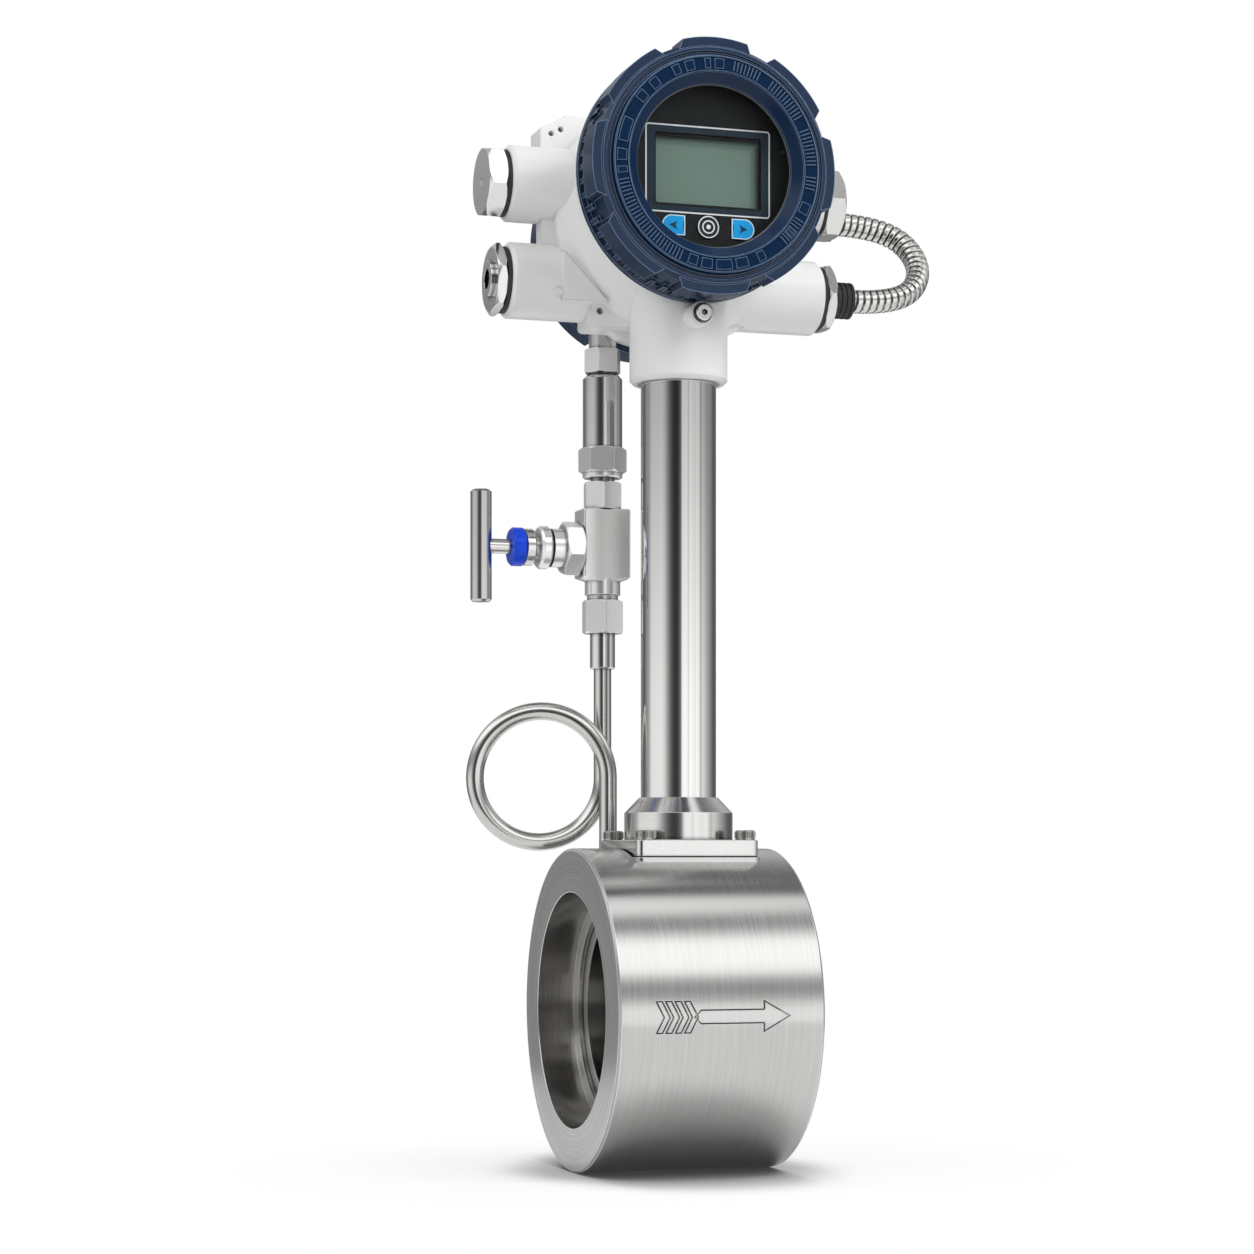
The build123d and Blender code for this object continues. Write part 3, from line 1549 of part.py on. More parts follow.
nut_start = collar_end + packing_nut_gap
nut_end = nut_start + packing_nut_length
with BuildPart() as packing_nut:
    turn(
        bonnet_line,
        (nut_start, bonnet_spigot_radius + running_gap),
        (spigot_end, bonnet_spigot_radius + running_gap),
        (spigot_end, valve_stem_radius + running_gap),
        (nut_end, valve_stem_radius + running_gap),
        (nut_end, packing_nut_radius - fine_chamfer),
        (nut_end - fine_chamfer, packing_nut_radius),
        (nut_start + fine_chamfer, packing_nut_radius),
        (nut_start, packing_nut_radius - fine_chamfer),
    )
packing_nut.part.label = "packing_nut"

cap_end = nut_end + dust_cap_length
with BuildPart() as dust_cap:
    turn(
        bonnet_line,
        (nut_end, valve_stem_radius + running_gap),
        (cap_end, valve_stem_radius + running_gap),
        (cap_end, dust_cap_radius - wide_chamfer),
        (cap_end - wide_chamfer, dust_cap_radius),
        (nut_end + fine_chamfer, dust_cap_radius),
        (nut_end, dust_cap_radius - fine_chamfer),
    )
dust_cap.part.label = "dust_cap"

# The stem turns with the handle; the needle before it slides without turning
thread_outer = spigot_end - bonnet_end_wall - needle_travel - slip_gap
handle_place = cap_end + handle_stand
stem_end = handle_place + handle_radius - stem_end_cover
with BuildPart() as valve_stem:
    turn_rod(bonnet_line, stem_thread_start, thread_outer, valve_thread_radius)
    turn_rod(bonnet_line, thread_outer, stem_end, valve_stem_radius)
valve_stem.part.label = "valve_stem"

handle_centre = Vector(*bonnet_line.origin) + Vector(*bonnet_line.x_dir) * handle_place
handle_line = upright_section(handle_centre.X, handle_centre.Y)
with BuildPart() as valve_handle:
    half = handle_length / 2
    turn(
        handle_line,
        (handle_centre.Z - half, 0),
        (handle_centre.Z + half, 0),
        (handle_centre.Z + half, handle_radius - wide_chamfer),
        (handle_centre.Z + half - wide_chamfer, handle_radius),
        (handle_centre.Z - half + wide_chamfer, handle_radius),
        (handle_centre.Z - half, handle_radius - wide_chamfer),
    )
    turn_rod(
        bonnet_line,
        handle_place - handle_radius - overcut,
        stem_end + seat_gap,
        valve_stem_radius + seat_gap,
        mode=Mode.SUBTRACT,
    )
valve_handle.part.label = "valve_handle"

needle_end = -block_face - passage_radius - needle_seat_depth
with BuildPart() as valve_needle:
    turn(
        bonnet_line,
        (needle_end - needle_point + slip_gap, 0),
        (stem_thread_start - seat_gap, 0),
        (stem_thread_start - seat_gap, valve_thread_radius),
        (-bonnet_shank_length + needle_collar_gap, valve_thread_radius),
        (-bonnet_shank_length + needle_collar_gap, needle_radius),
        (needle_end, needle_radius),
        (needle_end - needle_point + slip_gap, needle_tip_radius),
    )
valve_needle.part.label = "valve_needle"

os.makedirs("parts", exist_ok=True)
pieces = [
    meter_body, shedder_bar, sensor_probe, probe_seal, plate_gasket, flange_plate, plate_screws,
    stem_tube, head_housing, front_cover, window_gasket, window_glass, window_ring, front_o_ring,
    rear_cover, rear_o_ring, display_panel, lcd_screen, *keys, display_board, main_board,
    display_posts, terminal_board, terminal_posts, terminal_block, upper_left_plug, upper_left_seal,
    cable_gland, cable_gland_seal, upper_right_plug, upper_right_seal, conduit_gland, conduit_gland_seal,
    lower_conduit_sleeve, rear_conduit_gland, rear_conduit_sleeve, conduit, lock_washer, lock_screw,
    siphon_tube, tube_ferrule, lower_nut, valve_body, pressure_adapter, union_nut, pressure_sensor,
    sensor_cap, lead_sleeve, valve_bonnet, packing_nut, dust_cap, valve_stem, valve_handle,
    valve_needle,
]
for piece in pieces:
    export_step(piece.part, f"parts/{piece.part.label}.step")
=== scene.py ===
from math import atan2, ceil, cos, pi, radians, sin

import bmesh
import bpy
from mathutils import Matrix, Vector


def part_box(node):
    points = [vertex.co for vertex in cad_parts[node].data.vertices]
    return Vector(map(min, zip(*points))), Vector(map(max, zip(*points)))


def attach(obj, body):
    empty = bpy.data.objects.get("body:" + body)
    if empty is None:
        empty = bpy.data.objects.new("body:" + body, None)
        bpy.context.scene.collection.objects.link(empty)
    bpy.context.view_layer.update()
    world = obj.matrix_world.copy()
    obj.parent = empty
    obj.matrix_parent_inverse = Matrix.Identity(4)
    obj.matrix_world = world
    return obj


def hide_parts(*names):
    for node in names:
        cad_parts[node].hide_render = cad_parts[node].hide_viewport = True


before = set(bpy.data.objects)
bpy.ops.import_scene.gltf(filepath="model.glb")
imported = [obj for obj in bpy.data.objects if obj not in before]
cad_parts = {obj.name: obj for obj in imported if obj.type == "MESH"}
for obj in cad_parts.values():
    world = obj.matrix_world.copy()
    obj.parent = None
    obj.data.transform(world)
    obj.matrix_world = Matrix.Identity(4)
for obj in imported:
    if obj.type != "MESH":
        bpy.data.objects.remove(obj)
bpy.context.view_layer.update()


def middle_of(name):
    """The middle of a piece's box in the frame, as x, y and z."""
    return [(least + most) / 2 for least, most in zip(*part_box(name))]


def front_of(name):
    """The middle of a piece's front face, which looks along -Y, as x, y and z."""
    x, _, z = middle_of(name)
    return x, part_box(name)[0].y, z


# Places read from the frame. The head stands over the stem, so its cover gives the stem's axis too.
body_low, body_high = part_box("meter_body")
BODY_X = middle_of("meter_body")[0]
BODY_RADIUS = body_high.z
FLOOR_Z = body_low.z
STEM_X, COVER_FACE, HEAD_Z = front_of("front_cover")
SCREEN_X, SCREEN_FACE, _ = front_of("lcd_screen")
PANEL_FACE = front_of("display_panel")[1]

# A point on each axis that finishes run round. The plugs' point lies between their two heights.
BODY_AXIS = (BODY_X, 0, 0)
STEM_AXIS = (STEM_X, 0, 0)
HEAD_AXIS = (STEM_X, 0, HEAD_Z)
COLUMN_AXIS = (0.028, 0.0425, 0)
VALVE_AXIS = (0, 0.0425, 0.207)
PLUG_AXIS = (0, 0.020, 0.345)

MERGE_DISTANCE = 1e-6


def link_object(item):
    bpy.context.scene.collection.objects.link(item)
    return item


def mesh_object(name, points, faces, smooth=True):
    """A new object from points and faces, with its normals made consistent."""
    mesh = bpy.data.meshes.new(name)
    mesh.from_pydata([tuple(point) for point in points], [], faces)
    work = bmesh.new()
    work.from_mesh(mesh)
    bmesh.ops.remove_doubles(work, verts=work.verts, dist=MERGE_DISTANCE)
    bmesh.ops.recalc_face_normals(work, faces=work.faces)
    work.to_mesh(mesh)
    work.free()
    for face in mesh.polygons:
        face.use_smooth = smooth
    return link_object(bpy.data.objects.new(name, mesh))


def circle(radius, steps=40):
    """Points round a circle about its own middle."""
    turns = [2 * pi * step / steps for step in range(steps)]
    return [(radius * cos(turn), radius * sin(turn)) for turn in turns]


def place(item, material, body):
    """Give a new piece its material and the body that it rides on."""
    item.data.materials.append(material)
    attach(item, body)


# Nodes. A value is a number, a vector, a colour or the output of another node.


def feed(tree, socket, value):
    """Link a node's input to another node's output, or set it to a number, vector or colour."""
    if isinstance(value, bpy.types.NodeSocket):
        tree.links.new(value, socket)
    elif socket.type == "RGBA":
        socket.default_value = (*value, 1)
    else:
        socket.default_value = value


def math_node(tree, operation, *values):
    node = tree.nodes.new("ShaderNodeMath")
    node.operation = operation
    for socket, value in zip(node.inputs, values):
        feed(tree, socket, value)
    return node.outputs[0]


def vector_node(tree, operation, first, second):
    node = tree.nodes.new("ShaderNodeVectorMath")
    node.operation = operation
    feed(tree, node.inputs[0], first)
    feed(tree, node.inputs[1], second)
    return node.outputs["Value" if operation == "DOT_PRODUCT" else "Vector"]


def components(tree, vector):
    """The X, Y and Z of a vector, to be looked up by those names."""
    node = tree.nodes.new("ShaderNodeSeparateXYZ")
    tree.links.new(vector, node.inputs[0])
    return node.outputs


def length_of_two(tree, first, second):
    """The length of a vector that has two components."""
    squares = [math_node(tree, "MULTIPLY", value, value) for value in (first, second)]
    return math_node(tree, "SQRT", math_node(tree, "ADD", *squares))


def between(tree, value, low, high):
    """One where value lies between low and high, and nothing elsewhere."""
    above = math_node(tree, "GREATER_THAN", value, low)
    below = math_node(tree, "LESS_THAN", value, high)
    return math_node(tree, "MULTIPLY", above, below)


def ramp_node(tree, value, stops, interpolation="LINEAR"):
    """A Color Ramp of grey levels, or of colours, over a value from 0 to 1."""
    node = tree.nodes.new("ShaderNodeValToRGB")
    ramp = node.color_ramp
    ramp.interpolation = interpolation
    while len(ramp.elements) < len(stops):
        ramp.elements.new(1.0)
    for element, (stop, level) in zip(ramp.elements, stops):
        element.position = stop
        grey = isinstance(level, (int, float))
        element.color = (level, level, level, 1) if grey else (*level, 1)
    tree.links.new(value, node.inputs[0])
    return node.outputs[0]


def by_degrees(tree, value, levels, half):
    """A level looked up by an angle from -half to half degrees, which value gives as 0 to 1."""
    stops = [((angle + half) / (2 * half), level) for angle, level in levels]
    return ramp_node(tree, value, stops)


def mix_levels(tree, share, first, second):
    """First level where share is 0, second where it is 1."""
    kept = math_node(tree, "SUBTRACT", 1.0, share)
    kept = math_node(tree, "MULTIPLY", kept, first)
    added = math_node(tree, "MULTIPLY", share, second)
    return math_node(tree, "ADD", kept, added)


def mix_shaders(tree, share, first, second):
    """First shader where share is 0, second where it is 1."""
    node = tree.nodes.new("ShaderNodeMixShader")
    for socket, value in zip(node.inputs, (share, first, second)):
        feed(tree, socket, value)
    return node.outputs[0]


def white_light(tree, kind, strength):
    """A white Background or Emission shader."""
    node = tree.nodes.new("ShaderNode" + kind)
    feed(tree, node.inputs["Color"], (1, 1, 1))
    feed(tree, node.inputs["Strength"], strength)
    return node.outputs[0]


def is_ray(tree, *names):
    """One for rays of the kinds that these outputs of Light Path name, and nothing for others."""
    path = tree.nodes.new("ShaderNodeLightPath").outputs
    found = path[names[0]]
    for name in names[1:]:
        found = math_node(tree, "MAXIMUM", found, path[name])
    return found


def openness(tree, reach, samples, own=False):
    """One in the open, less where walls crowd in within reach. own counts only the piece's walls."""
    node = tree.nodes.new("ShaderNodeAmbientOcclusion")
    node.samples = samples
    node.only_local = own
    node.inputs["Distance"].default_value = reach
    return node.outputs["AO"]


def rounded_normal(tree, radius, samples):
    """The surface's direction, with its sharp edges rounded by radius."""
    node = tree.nodes.new("ShaderNodeBevel")
    node.samples = samples
    node.inputs["Radius"].default_value = radius
    return node.outputs[0]


# Camera: level, at the photograph's bearing, as far off as its perspective asks
IMAGE_SIZE = 1254
FOCAL_PIXELS = 3000
HORIZON_ROW = 862
CAMERA_PLACE = Vector((-0.3785, -1.2593, 0.065))
CAMERA_TURN = radians(-17.81)
CAMERA_SIGHT = 20
SENSOR_WIDTH = 36.0


def make_camera():
    data = bpy.data.cameras.new("camera")
    data.sensor_width = SENSOR_WIDTH
    data.lens = FOCAL_PIXELS / IMAGE_SIZE * SENSOR_WIDTH
    data.shift_y = (HORIZON_ROW - IMAGE_SIZE / 2) / IMAGE_SIZE
    data.clip_end = CAMERA_SIGHT
    camera = link_object(bpy.data.objects.new("camera", data))
    camera.location = CAMERA_PLACE
    camera.rotation_euler = (radians(90), 0, CAMERA_TURN)
    bpy.context.scene.camera = camera


# The studio as metal sees it: level by bearing from the camera in degrees, near the horizon
BEARING_LEVELS = [
    (-180, 0.22), (-152, 0.28), (-143, 0.12), (-128, 0.10), (-118, 0.21), (-102, 0.38), (-92, 0.76),
    (-54, 0.80), (-45, 0.68), (-35, 0.36), (-25, 0.13), (-16, 0.05), (-5, 0.03), (3, 0.11), (7, 0.20),
    (9.5, 0.85), (13, 0.98), (27, 1.0), (29.3, 0.52), (31.5, 1.0), (40, 1.0), (50, 0.87), (60, 1.0),
    (67, 0.8), (70.5, 0.42), (78, 0.72), (95, 0.45), (109, 0.27), (127, 0.11), (145, 0.08), (180, 0.22),
]
# How far an even sky takes the place of those levels, by height in degrees above the horizon
SKY_SHARES = [(-90, 0.0), (10, 0.0), (34, 1.0), (90, 1.0)]
# Level by height, before the object and behind it, and where by bearing the second one counts
FRONT_LEVELS = [
    (-90, 0.5), (-30, 0.72), (-6, 0.84), (3, 0.84), (8, 0.5), (12, 0.31), (17, 0.26), (22, 0.46),
    (27, 0.93), (31, 1.0), (46, 1.0), (50, 0.72), (57, 0.2), (63, 0.24), (68, 0.9), (73, 0.9),
    (79, 0.2), (90, 0.08),
]
BACK_LEVELS = [(-90, 0.5), (-10, 0.85), (10, 0.85), (30, 0.4), (60, 0.12), (90, 0.14)]
BACK_SHARES = [(-180, 1.0), (-118, 1.0), (-96, 0.0), (96, 0.0), (118, 1.0), (180, 1.0)]
# What lights painted and moulded surfaces, by height
AMBIENT_LEVELS = [(-90, 0.30), (-6, 0.36), (8, 0.56), (60, 0.86), (90, 0.98)]
STUDIO_LEVEL = 1.65


def studio_angles(tree):
    """Bearing from the camera and height above the horizon, each as 0 to 1."""
    turn = tree.nodes.new("ShaderNodeVectorRotate")
    turn.rotation_type = "Z_AXIS"
    turn.inputs["Angle"].default_value = -CAMERA_TURN
    tree.links.new(tree.nodes.new("ShaderNodeTexCoord").outputs["Generated"], turn.inputs["Vector"])
    parts = components(tree, turn.outputs[0])
    toward = math_node(tree, "MULTIPLY", parts["Y"], -1.0)
    bearing = math_node(tree, "ARCTAN2", parts["X"], toward)
    bearing = math_node(tree, "MULTIPLY_ADD", bearing, 1 / (2 * pi), 0.5)
    height = math_node(tree, "ARCSINE", parts["Z"])
    height = math_node(tree, "MULTIPLY_ADD", height, 1 / pi, 0.5)
    return bearing, height


def studio_level(tree, bearing, height):
    across = by_degrees(tree, bearing, BEARING_LEVELS, 180)
    across = mix_levels(tree, by_degrees(tree, height, SKY_SHARES, 90), across, 1.0)
    front = by_degrees(tree, height, FRONT_LEVELS, 90)
    back = by_degrees(tree, height, BACK_LEVELS, 90)
    upright = mix_levels(tree, by_degrees(tree, bearing, BACK_SHARES, 180), front, back)
    level = math_node(tree, "MULTIPLY", across, upright)
    return math_node(tree, "MULTIPLY", level, STUDIO_LEVEL)


def make_world():
    """A studio for metal to mirror, soft light for the rest, and a plain white background."""
    world = bpy.data.worlds.new("studio")
    bpy.context.scene.world = world
    world.use_nodes = True
    tree = world.node_tree
    tree.nodes.clear()
    bearing, height = studio_angles(tree)
    ambient = white_light(tree, "Background", by_degrees(tree, height, AMBIENT_LEVELS, 90))
    studio = white_light(tree, "Background", studio_level(tree, bearing, height))
    white = white_light(tree, "Background", 1.0)
    lit = mix_shaders(tree, is_ray(tree, "Is Glossy Ray"), ambient, studio)
    final = mix_shaders(tree, is_ray(tree, "Is Camera Ray", "Is Transmission Ray"), lit, white)
    output = tree.nodes.new("ShaderNodeOutputWorld")
    tree.links.new(final, output.inputs["Surface"])


def make_light(name, place_at, aim, size, power):
    """A soft square lamp that metal doesn't mirror."""
    data = bpy.data.lights.new(name, "AREA")
    data.shape = "SQUARE"
    data.size = size
    data.energy = power
    lamp = link_object(bpy.data.objects.new(name, data))
    lamp.location = place_at
    lamp.rotation_euler = (Vector(aim) - Vector(place_at)).to_track_quat("-Z", "Y").to_euler()
    lamp.visible_camera = False
    lamp.visible_glossy = False


FLOOR_RADIUS = 0.6
FLOOR_CORNERS = 96
FLOOR_COLOUR = (0.84, 0.84, 0.84)
# The shadow where the object crowds in on the floor: level by openness, and its share of the whole
CONTACT_REACH = 0.12
CONTACT_SAMPLES = 32
CONTACT_STOPS = [(0.25, 0.05), (0.62, 0.46), (0.80, 1.0)]
CONTACT_SHARE = 0.78
# How far from the body's footprint the floor starts to fade, and where it is plain white
SHADOW_REACH = 0.045
WHITE_REACH = 0.19


def footprint_distance(tree):
    """How far a point of the floor lies from the line on which the body rests."""
    parts = components(tree, tree.nodes.new("ShaderNodeNewGeometry").outputs["Position"])
    half = (body_high.x - body_low.x) / 2
    along = math_node(tree, "ABSOLUTE", math_node(tree, "SUBTRACT", parts["X"], BODY_X))
    along = math_node(tree, "MAXIMUM", math_node(tree, "SUBTRACT", along, half), 0.0)
    return length_of_two(tree, along, parts["Y"])


def floor_material():
    """Pale grey that keeps the shadow near the object and fades to plain white."""
    material = bpy.data.materials.new("floor")
    material.use_nodes = True
    tree = material.node_tree
    tree.nodes.clear()
    diffuse = tree.nodes.new("ShaderNodeBsdfDiffuse")
    feed(tree, diffuse.inputs["Color"], FLOOR_COLOUR)
    contact = ramp_node(tree, openness(tree, CONTACT_REACH, CONTACT_SAMPLES), CONTACT_STOPS)
    contact = white_light(tree, "Emission", contact)
    near = mix_shaders(tree, CONTACT_SHARE, diffuse.outputs[0], contact)
    fade = ramp_node(tree, footprint_distance(tree), [(SHADOW_REACH, 0.0), (WHITE_REACH, 1.0)], "EASE")
    seen = mix_shaders(tree, fade, near, white_light(tree, "Emission", 1.0))
    directly = is_ray(tree, "Is Camera Ray", "Is Glossy Ray", "Is Transmission Ray")
    final = mix_shaders(tree, directly, diffuse.outputs[0], seen)
    output = tree.nodes.new("ShaderNodeOutputMaterial")
    tree.links.new(final, output.inputs["Surface"])
    return material


def make_floor():
    rim = [(STEM_X + x, y, FLOOR_Z) for x, y in circle(FLOOR_RADIUS, FLOOR_CORNERS)]
    floor = mesh_object("floor", rim, [tuple(range(FLOOR_CORNERS))], smooth=False)
    floor.data.materials.append(floor_material())


make_camera()
make_world()
make_floor()
make_light("key", place_at=(0.9, -1.1, 1.3), aim=(0.05, 0, 0.2), size=1.0, power=17.5)
make_light("fill", place_at=(-1.2, -0.6, 0.9), aim=(0.0, 0, 0.2), size=0.9, power=5.0)
bpy.context.scene.view_settings.view_transform = "Standard"


# Materials. Most of a noise lies between these two values
NOISE_LOW = 0.3
NOISE_HIGH = 0.7
# How many broad patches a metre holds, and the detail, roughness and share of metal's fine lines
METAL_PATCHES = 14.0
PAINT_PATCHES = 22.0
GLASS_PATCHES = 30.0
LINE_DETAIL = 4.0
LINE_ROUGHNESS = 0.65
LINE_SHARE = 0.65
LATHE_DRIFT = (0.02, 0.02, 0.02)
QUARTER_TURN = 0.25
GRAIN_DETAIL = 2.0
PAINT_CONTRAST = 0.045
PAINT_SMOOTHEST = 0.9
PAINT_ROUGHEST = 1.12
COAT_ROUGHNESS = 0.12
WINDOW_INDEX = 1.14
SMEAR_STOPS = [(0.4, 0.0), (0.8, 0.012)]
# Edges: samples of the rounding, and how far the rounded direction has to differ to get the painted edge
# highlight
BUMP_EDGE_SAMPLES = 6
EDGE_HIGHLIGHT_SAMPLES = 8
EDGE_HIGHLIGHT_STOPS = [(0.90, 1.0), (0.995, 0.0)]
CREVICE_SAMPLES = 16
# The two colour inputs of a Mix node and its colour output
MIX_FIRST = 6
MIX_SECOND = 7
MIX_RESULT = 2


def shader_of(tree):
    return tree.nodes["Principled BSDF"]


def new_material(name, colour, roughness, metallic=0.0):
    """A material with one Principled shader, and the shader itself."""
    material = bpy.data.materials.new(name)
    material.use_nodes = True
    material.diffuse_color = (*colour, 1)
    shader = shader_of(material.node_tree)
    shader.inputs["Base Color"].default_value = (*colour, 1)
    shader.inputs["Roughness"].default_value = roughness
    shader.inputs["Metallic"].default_value = metallic
    return material, shader


def position(tree):
    """The point's place in the object's own frame, which moves with its body."""
    return tree.nodes.new("ShaderNodeTexCoord").outputs["Object"]


def facing(tree):
    """The X, Y and Z of the surface's direction in the object's own frame."""
    return components(tree, tree.nodes.new("ShaderNodeTexCoord").outputs["Normal"])


def facing_along(tree, axis):
    """One on faces that look along an axis either way, down to nothing on those that look across."""
    return math_node(tree, "ABSOLUTE", facing(tree)[axis])


def noise(tree, vector, scale, detail=3.0, roughness=0.5):
    node = tree.nodes.new("ShaderNodeTexNoise")
    node.inputs["Scale"].default_value = scale
    node.inputs["Detail"].default_value = detail
    node.inputs["Roughness"].default_value = roughness
    tree.links.new(vector, node.inputs["Vector"])
    return node.outputs[0]


def noise_stops(least, most):
    """Ramp stops that spread most of a noise between two levels or two colours."""
    return [(NOISE_LOW, least), (NOISE_HIGH, most)]


def vary(tree, socket, value, stops):
    """Drive a shader's input by a value from 0 to 1 through a ramp."""
    tree.links.new(ramp_node(tree, value, stops), socket)


def darker(colour, loss):
    return tuple(level * (1 - loss) for level in colour)


def add_bump(material, height, distance, strength, radius):
    """Bump from a height, over edges rounded by radius where it isn't zero."""
    tree = material.node_tree
    bump = tree.nodes.new("ShaderNodeBump")
    bump.inputs["Strength"].default_value = strength
    bump.inputs["Distance"].default_value = distance
    tree.links.new(height, bump.inputs["Height"])
    if radius:
        tree.links.new(rounded_normal(tree, radius, BUMP_EDGE_SAMPLES), bump.inputs["Normal"])
    tree.links.new(bump.outputs[0], shader_of(tree).inputs["Normal"])


def axis_distance(tree, axis, centre):
    """How far along an axis from centre a point lies, and how far from that axis."""
    parts = components(tree, vector_node(tree, "SUBTRACT", position(tree), centre))
    first, second = (parts[name] for name in "XYZ" if name != axis)
    return parts[axis], length_of_two(tree, first, second)


def lathe_coordinates(tree, axis, centre):
    """Coordinates (along the axis, away from it, nearly nothing) that make turned lines."""
    along, away = axis_distance(tree, axis, centre)
    joined = tree.nodes.new("ShaderNodeCombineXYZ")
    tree.links.new(along, joined.inputs["X"])
    tree.links.new(away, joined.inputs["Y"])
    shift = vector_node(tree, "SUBTRACT", position(tree), centre)
    drift = vector_node(tree, "MULTIPLY", shift, LATHE_DRIFT)
    return vector_node(tree, "ADD", joined.outputs[0], drift)


def steel(
    name, colour, roughness, lines, depth, axis=None, centre=(0, 0, 0),
    aniso=0.0, edge=0.0, metallic=1.0, contrast=0.1,
):
    """Metal, turned where it has an axis. lines is how many to a metre, and roughness a range."""
    material, shader = new_material(name, colour, roughness[0], metallic)
    tree = material.node_tree
    vector = lathe_coordinates(tree, axis, centre) if axis else position(tree)
    fine = noise(tree, vector, lines, LINE_DETAIL, LINE_ROUGHNESS)
    broad = noise(tree, position(tree), METAL_PATCHES)
    both = mix_levels(tree, LINE_SHARE, broad, fine)
    vary(tree, shader.inputs["Roughness"], both, noise_stops(*roughness))
    vary(tree, shader.inputs["Base Color"], both, noise_stops(darker(colour, contrast), colour))
    if aniso:
        shader.inputs["Anisotropic"].default_value = aniso
        shader.inputs["Anisotropic Rotation"].default_value = QUARTER_TURN
        tangent = tree.nodes.new("ShaderNodeTangent")
        tangent.direction_type = "RADIAL"
        tangent.axis = axis
        tree.links.new(tangent.outputs[0], shader.inputs["Tangent"])
    add_bump(material, fine, depth, strength=0.5, radius=edge)
    return material


def paint(name, colour, roughness, grain, depth, coat=0.0, edge=0.0, gloss=0.5):
    """Powder coat or moulded plastic with a fine even grain."""
    material, shader = new_material(name, colour, roughness)
    shader.inputs["Specular IOR Level"].default_value = gloss
    shader.inputs["Coat Weight"].default_value = coat
    shader.inputs["Coat Roughness"].default_value = COAT_ROUGHNESS
    tree = material.node_tree
    fine = noise(tree, position(tree), grain, GRAIN_DETAIL)
    broad = noise(tree, position(tree), PAINT_PATCHES)
    spread = noise_stops(roughness * PAINT_SMOOTHEST, roughness * PAINT_ROUGHEST)
    vary(tree, shader.inputs["Roughness"], broad, spread)
    vary(tree, shader.inputs["Base Color"], broad, noise_stops(darker(colour, PAINT_CONTRAST), colour))
    add_bump(material, fine, depth, strength=0.6, radius=edge)
    return material


def glass(name):
    """Clear window glass that lets light through to what lies behind it."""
    material, shader = new_material(name, (0.95, 0.98, 0.97), 0.0)
    shader.inputs["Transmission Weight"].default_value = 1.0
    shader.inputs["IOR"].default_value = WINDOW_INDEX
    tree = material.node_tree
    smear = noise(tree, position(tree), GLASS_PATCHES, GRAIN_DETAIL)
    vary(tree, shader.inputs["Roughness"], smear, SMEAR_STOPS)
    clear = tree.nodes.new("ShaderNodeBsdfTransparent")
    free = is_ray(tree, "Is Shadow Ray", "Is Diffuse Ray", "Is Glossy Ray")
    final = mix_shaders(tree, free, shader.outputs[0], clear.outputs[0])
    tree.links.new(final, tree.nodes["Material Output"].inputs["Surface"])
    return material


def tint(tree, share, colour):
    """Lay a colour over the material's own colour so far, by share."""
    base = shader_of(tree).inputs["Base Color"]
    node = tree.nodes.new("ShaderNodeMix")
    node.data_type = "RGBA"
    tree.links.new(share, node.inputs["Factor"])
    tree.links.new(base.links[0].from_socket, node.inputs[MIX_FIRST])
    feed(tree, node.inputs[MIX_SECOND], colour)
    tree.links.new(node.outputs[MIX_RESULT], base)


def edge_mask(tree, radius):
    """One along sharp edges, within a radius of them, and nothing on flat and curved faces."""
    normal = tree.nodes.new("ShaderNodeNewGeometry").outputs["Normal"]
    likeness = vector_node(tree, "DOT_PRODUCT", rounded_normal(tree, radius, EDGE_HIGHLIGHT_SAMPLES), normal)
    return ramp_node(tree, likeness, EDGE_HIGHLIGHT_STOPS)


def add_edge_highlight(material, colour, radius):
    """Painted highlight: a lighter colour along the sharp edges."""
    tree = material.node_tree
    tint(tree, edge_mask(tree, radius), colour)


def add_crevice_shade(material, colour, reach, own=True, full=0.35, none=0.95):
    """Painted shade: darker where the piece's own walls, or also its neighbours, crowd in within reach."""
    tree = material.node_tree
    crowd = openness(tree, reach, CREVICE_SAMPLES, own)
    tint(tree, ramp_node(tree, crowd, [(full, 1.0), (none, 0.0)]), colour)


# The body's end faces, which look along its axis, with painted shade that darkens their turned lines
END_FACE_TILT = 0.7
END_FACE_LINES = 900
END_FACE_DARK = (0.33, 0.328, 0.324)
END_FACE_LIGHT = (0.45, 0.447, 0.441)
END_FACE_METAL = 0.5
# Its bore, in painted shade that deepens further in: the radius, how far from the body's middle it is deep,
# and where from there the rims start, with the width of their painted highlight
BORE_REACH = 0.062
BORE_STEP = 0.027
BORE_SHADE = (0.44, 0.43, 0.415)
DEEP_BORE_SHADE = (0.16, 0.155, 0.145)
RIM_PLACE = 0.0440
RIM_HIGHLIGHT = 9e-4
# The arrow's engraved lines, between two depths under the turned surface and not on the pad
ARROW_REACH = 0.032
ENGRAVED_DEEP = 0.0008
ENGRAVED_SHALLOW = 0.00008
PAD_TILT = 0.5
ENGRAVED_COLOUR = (0.06, 0.057, 0.053)


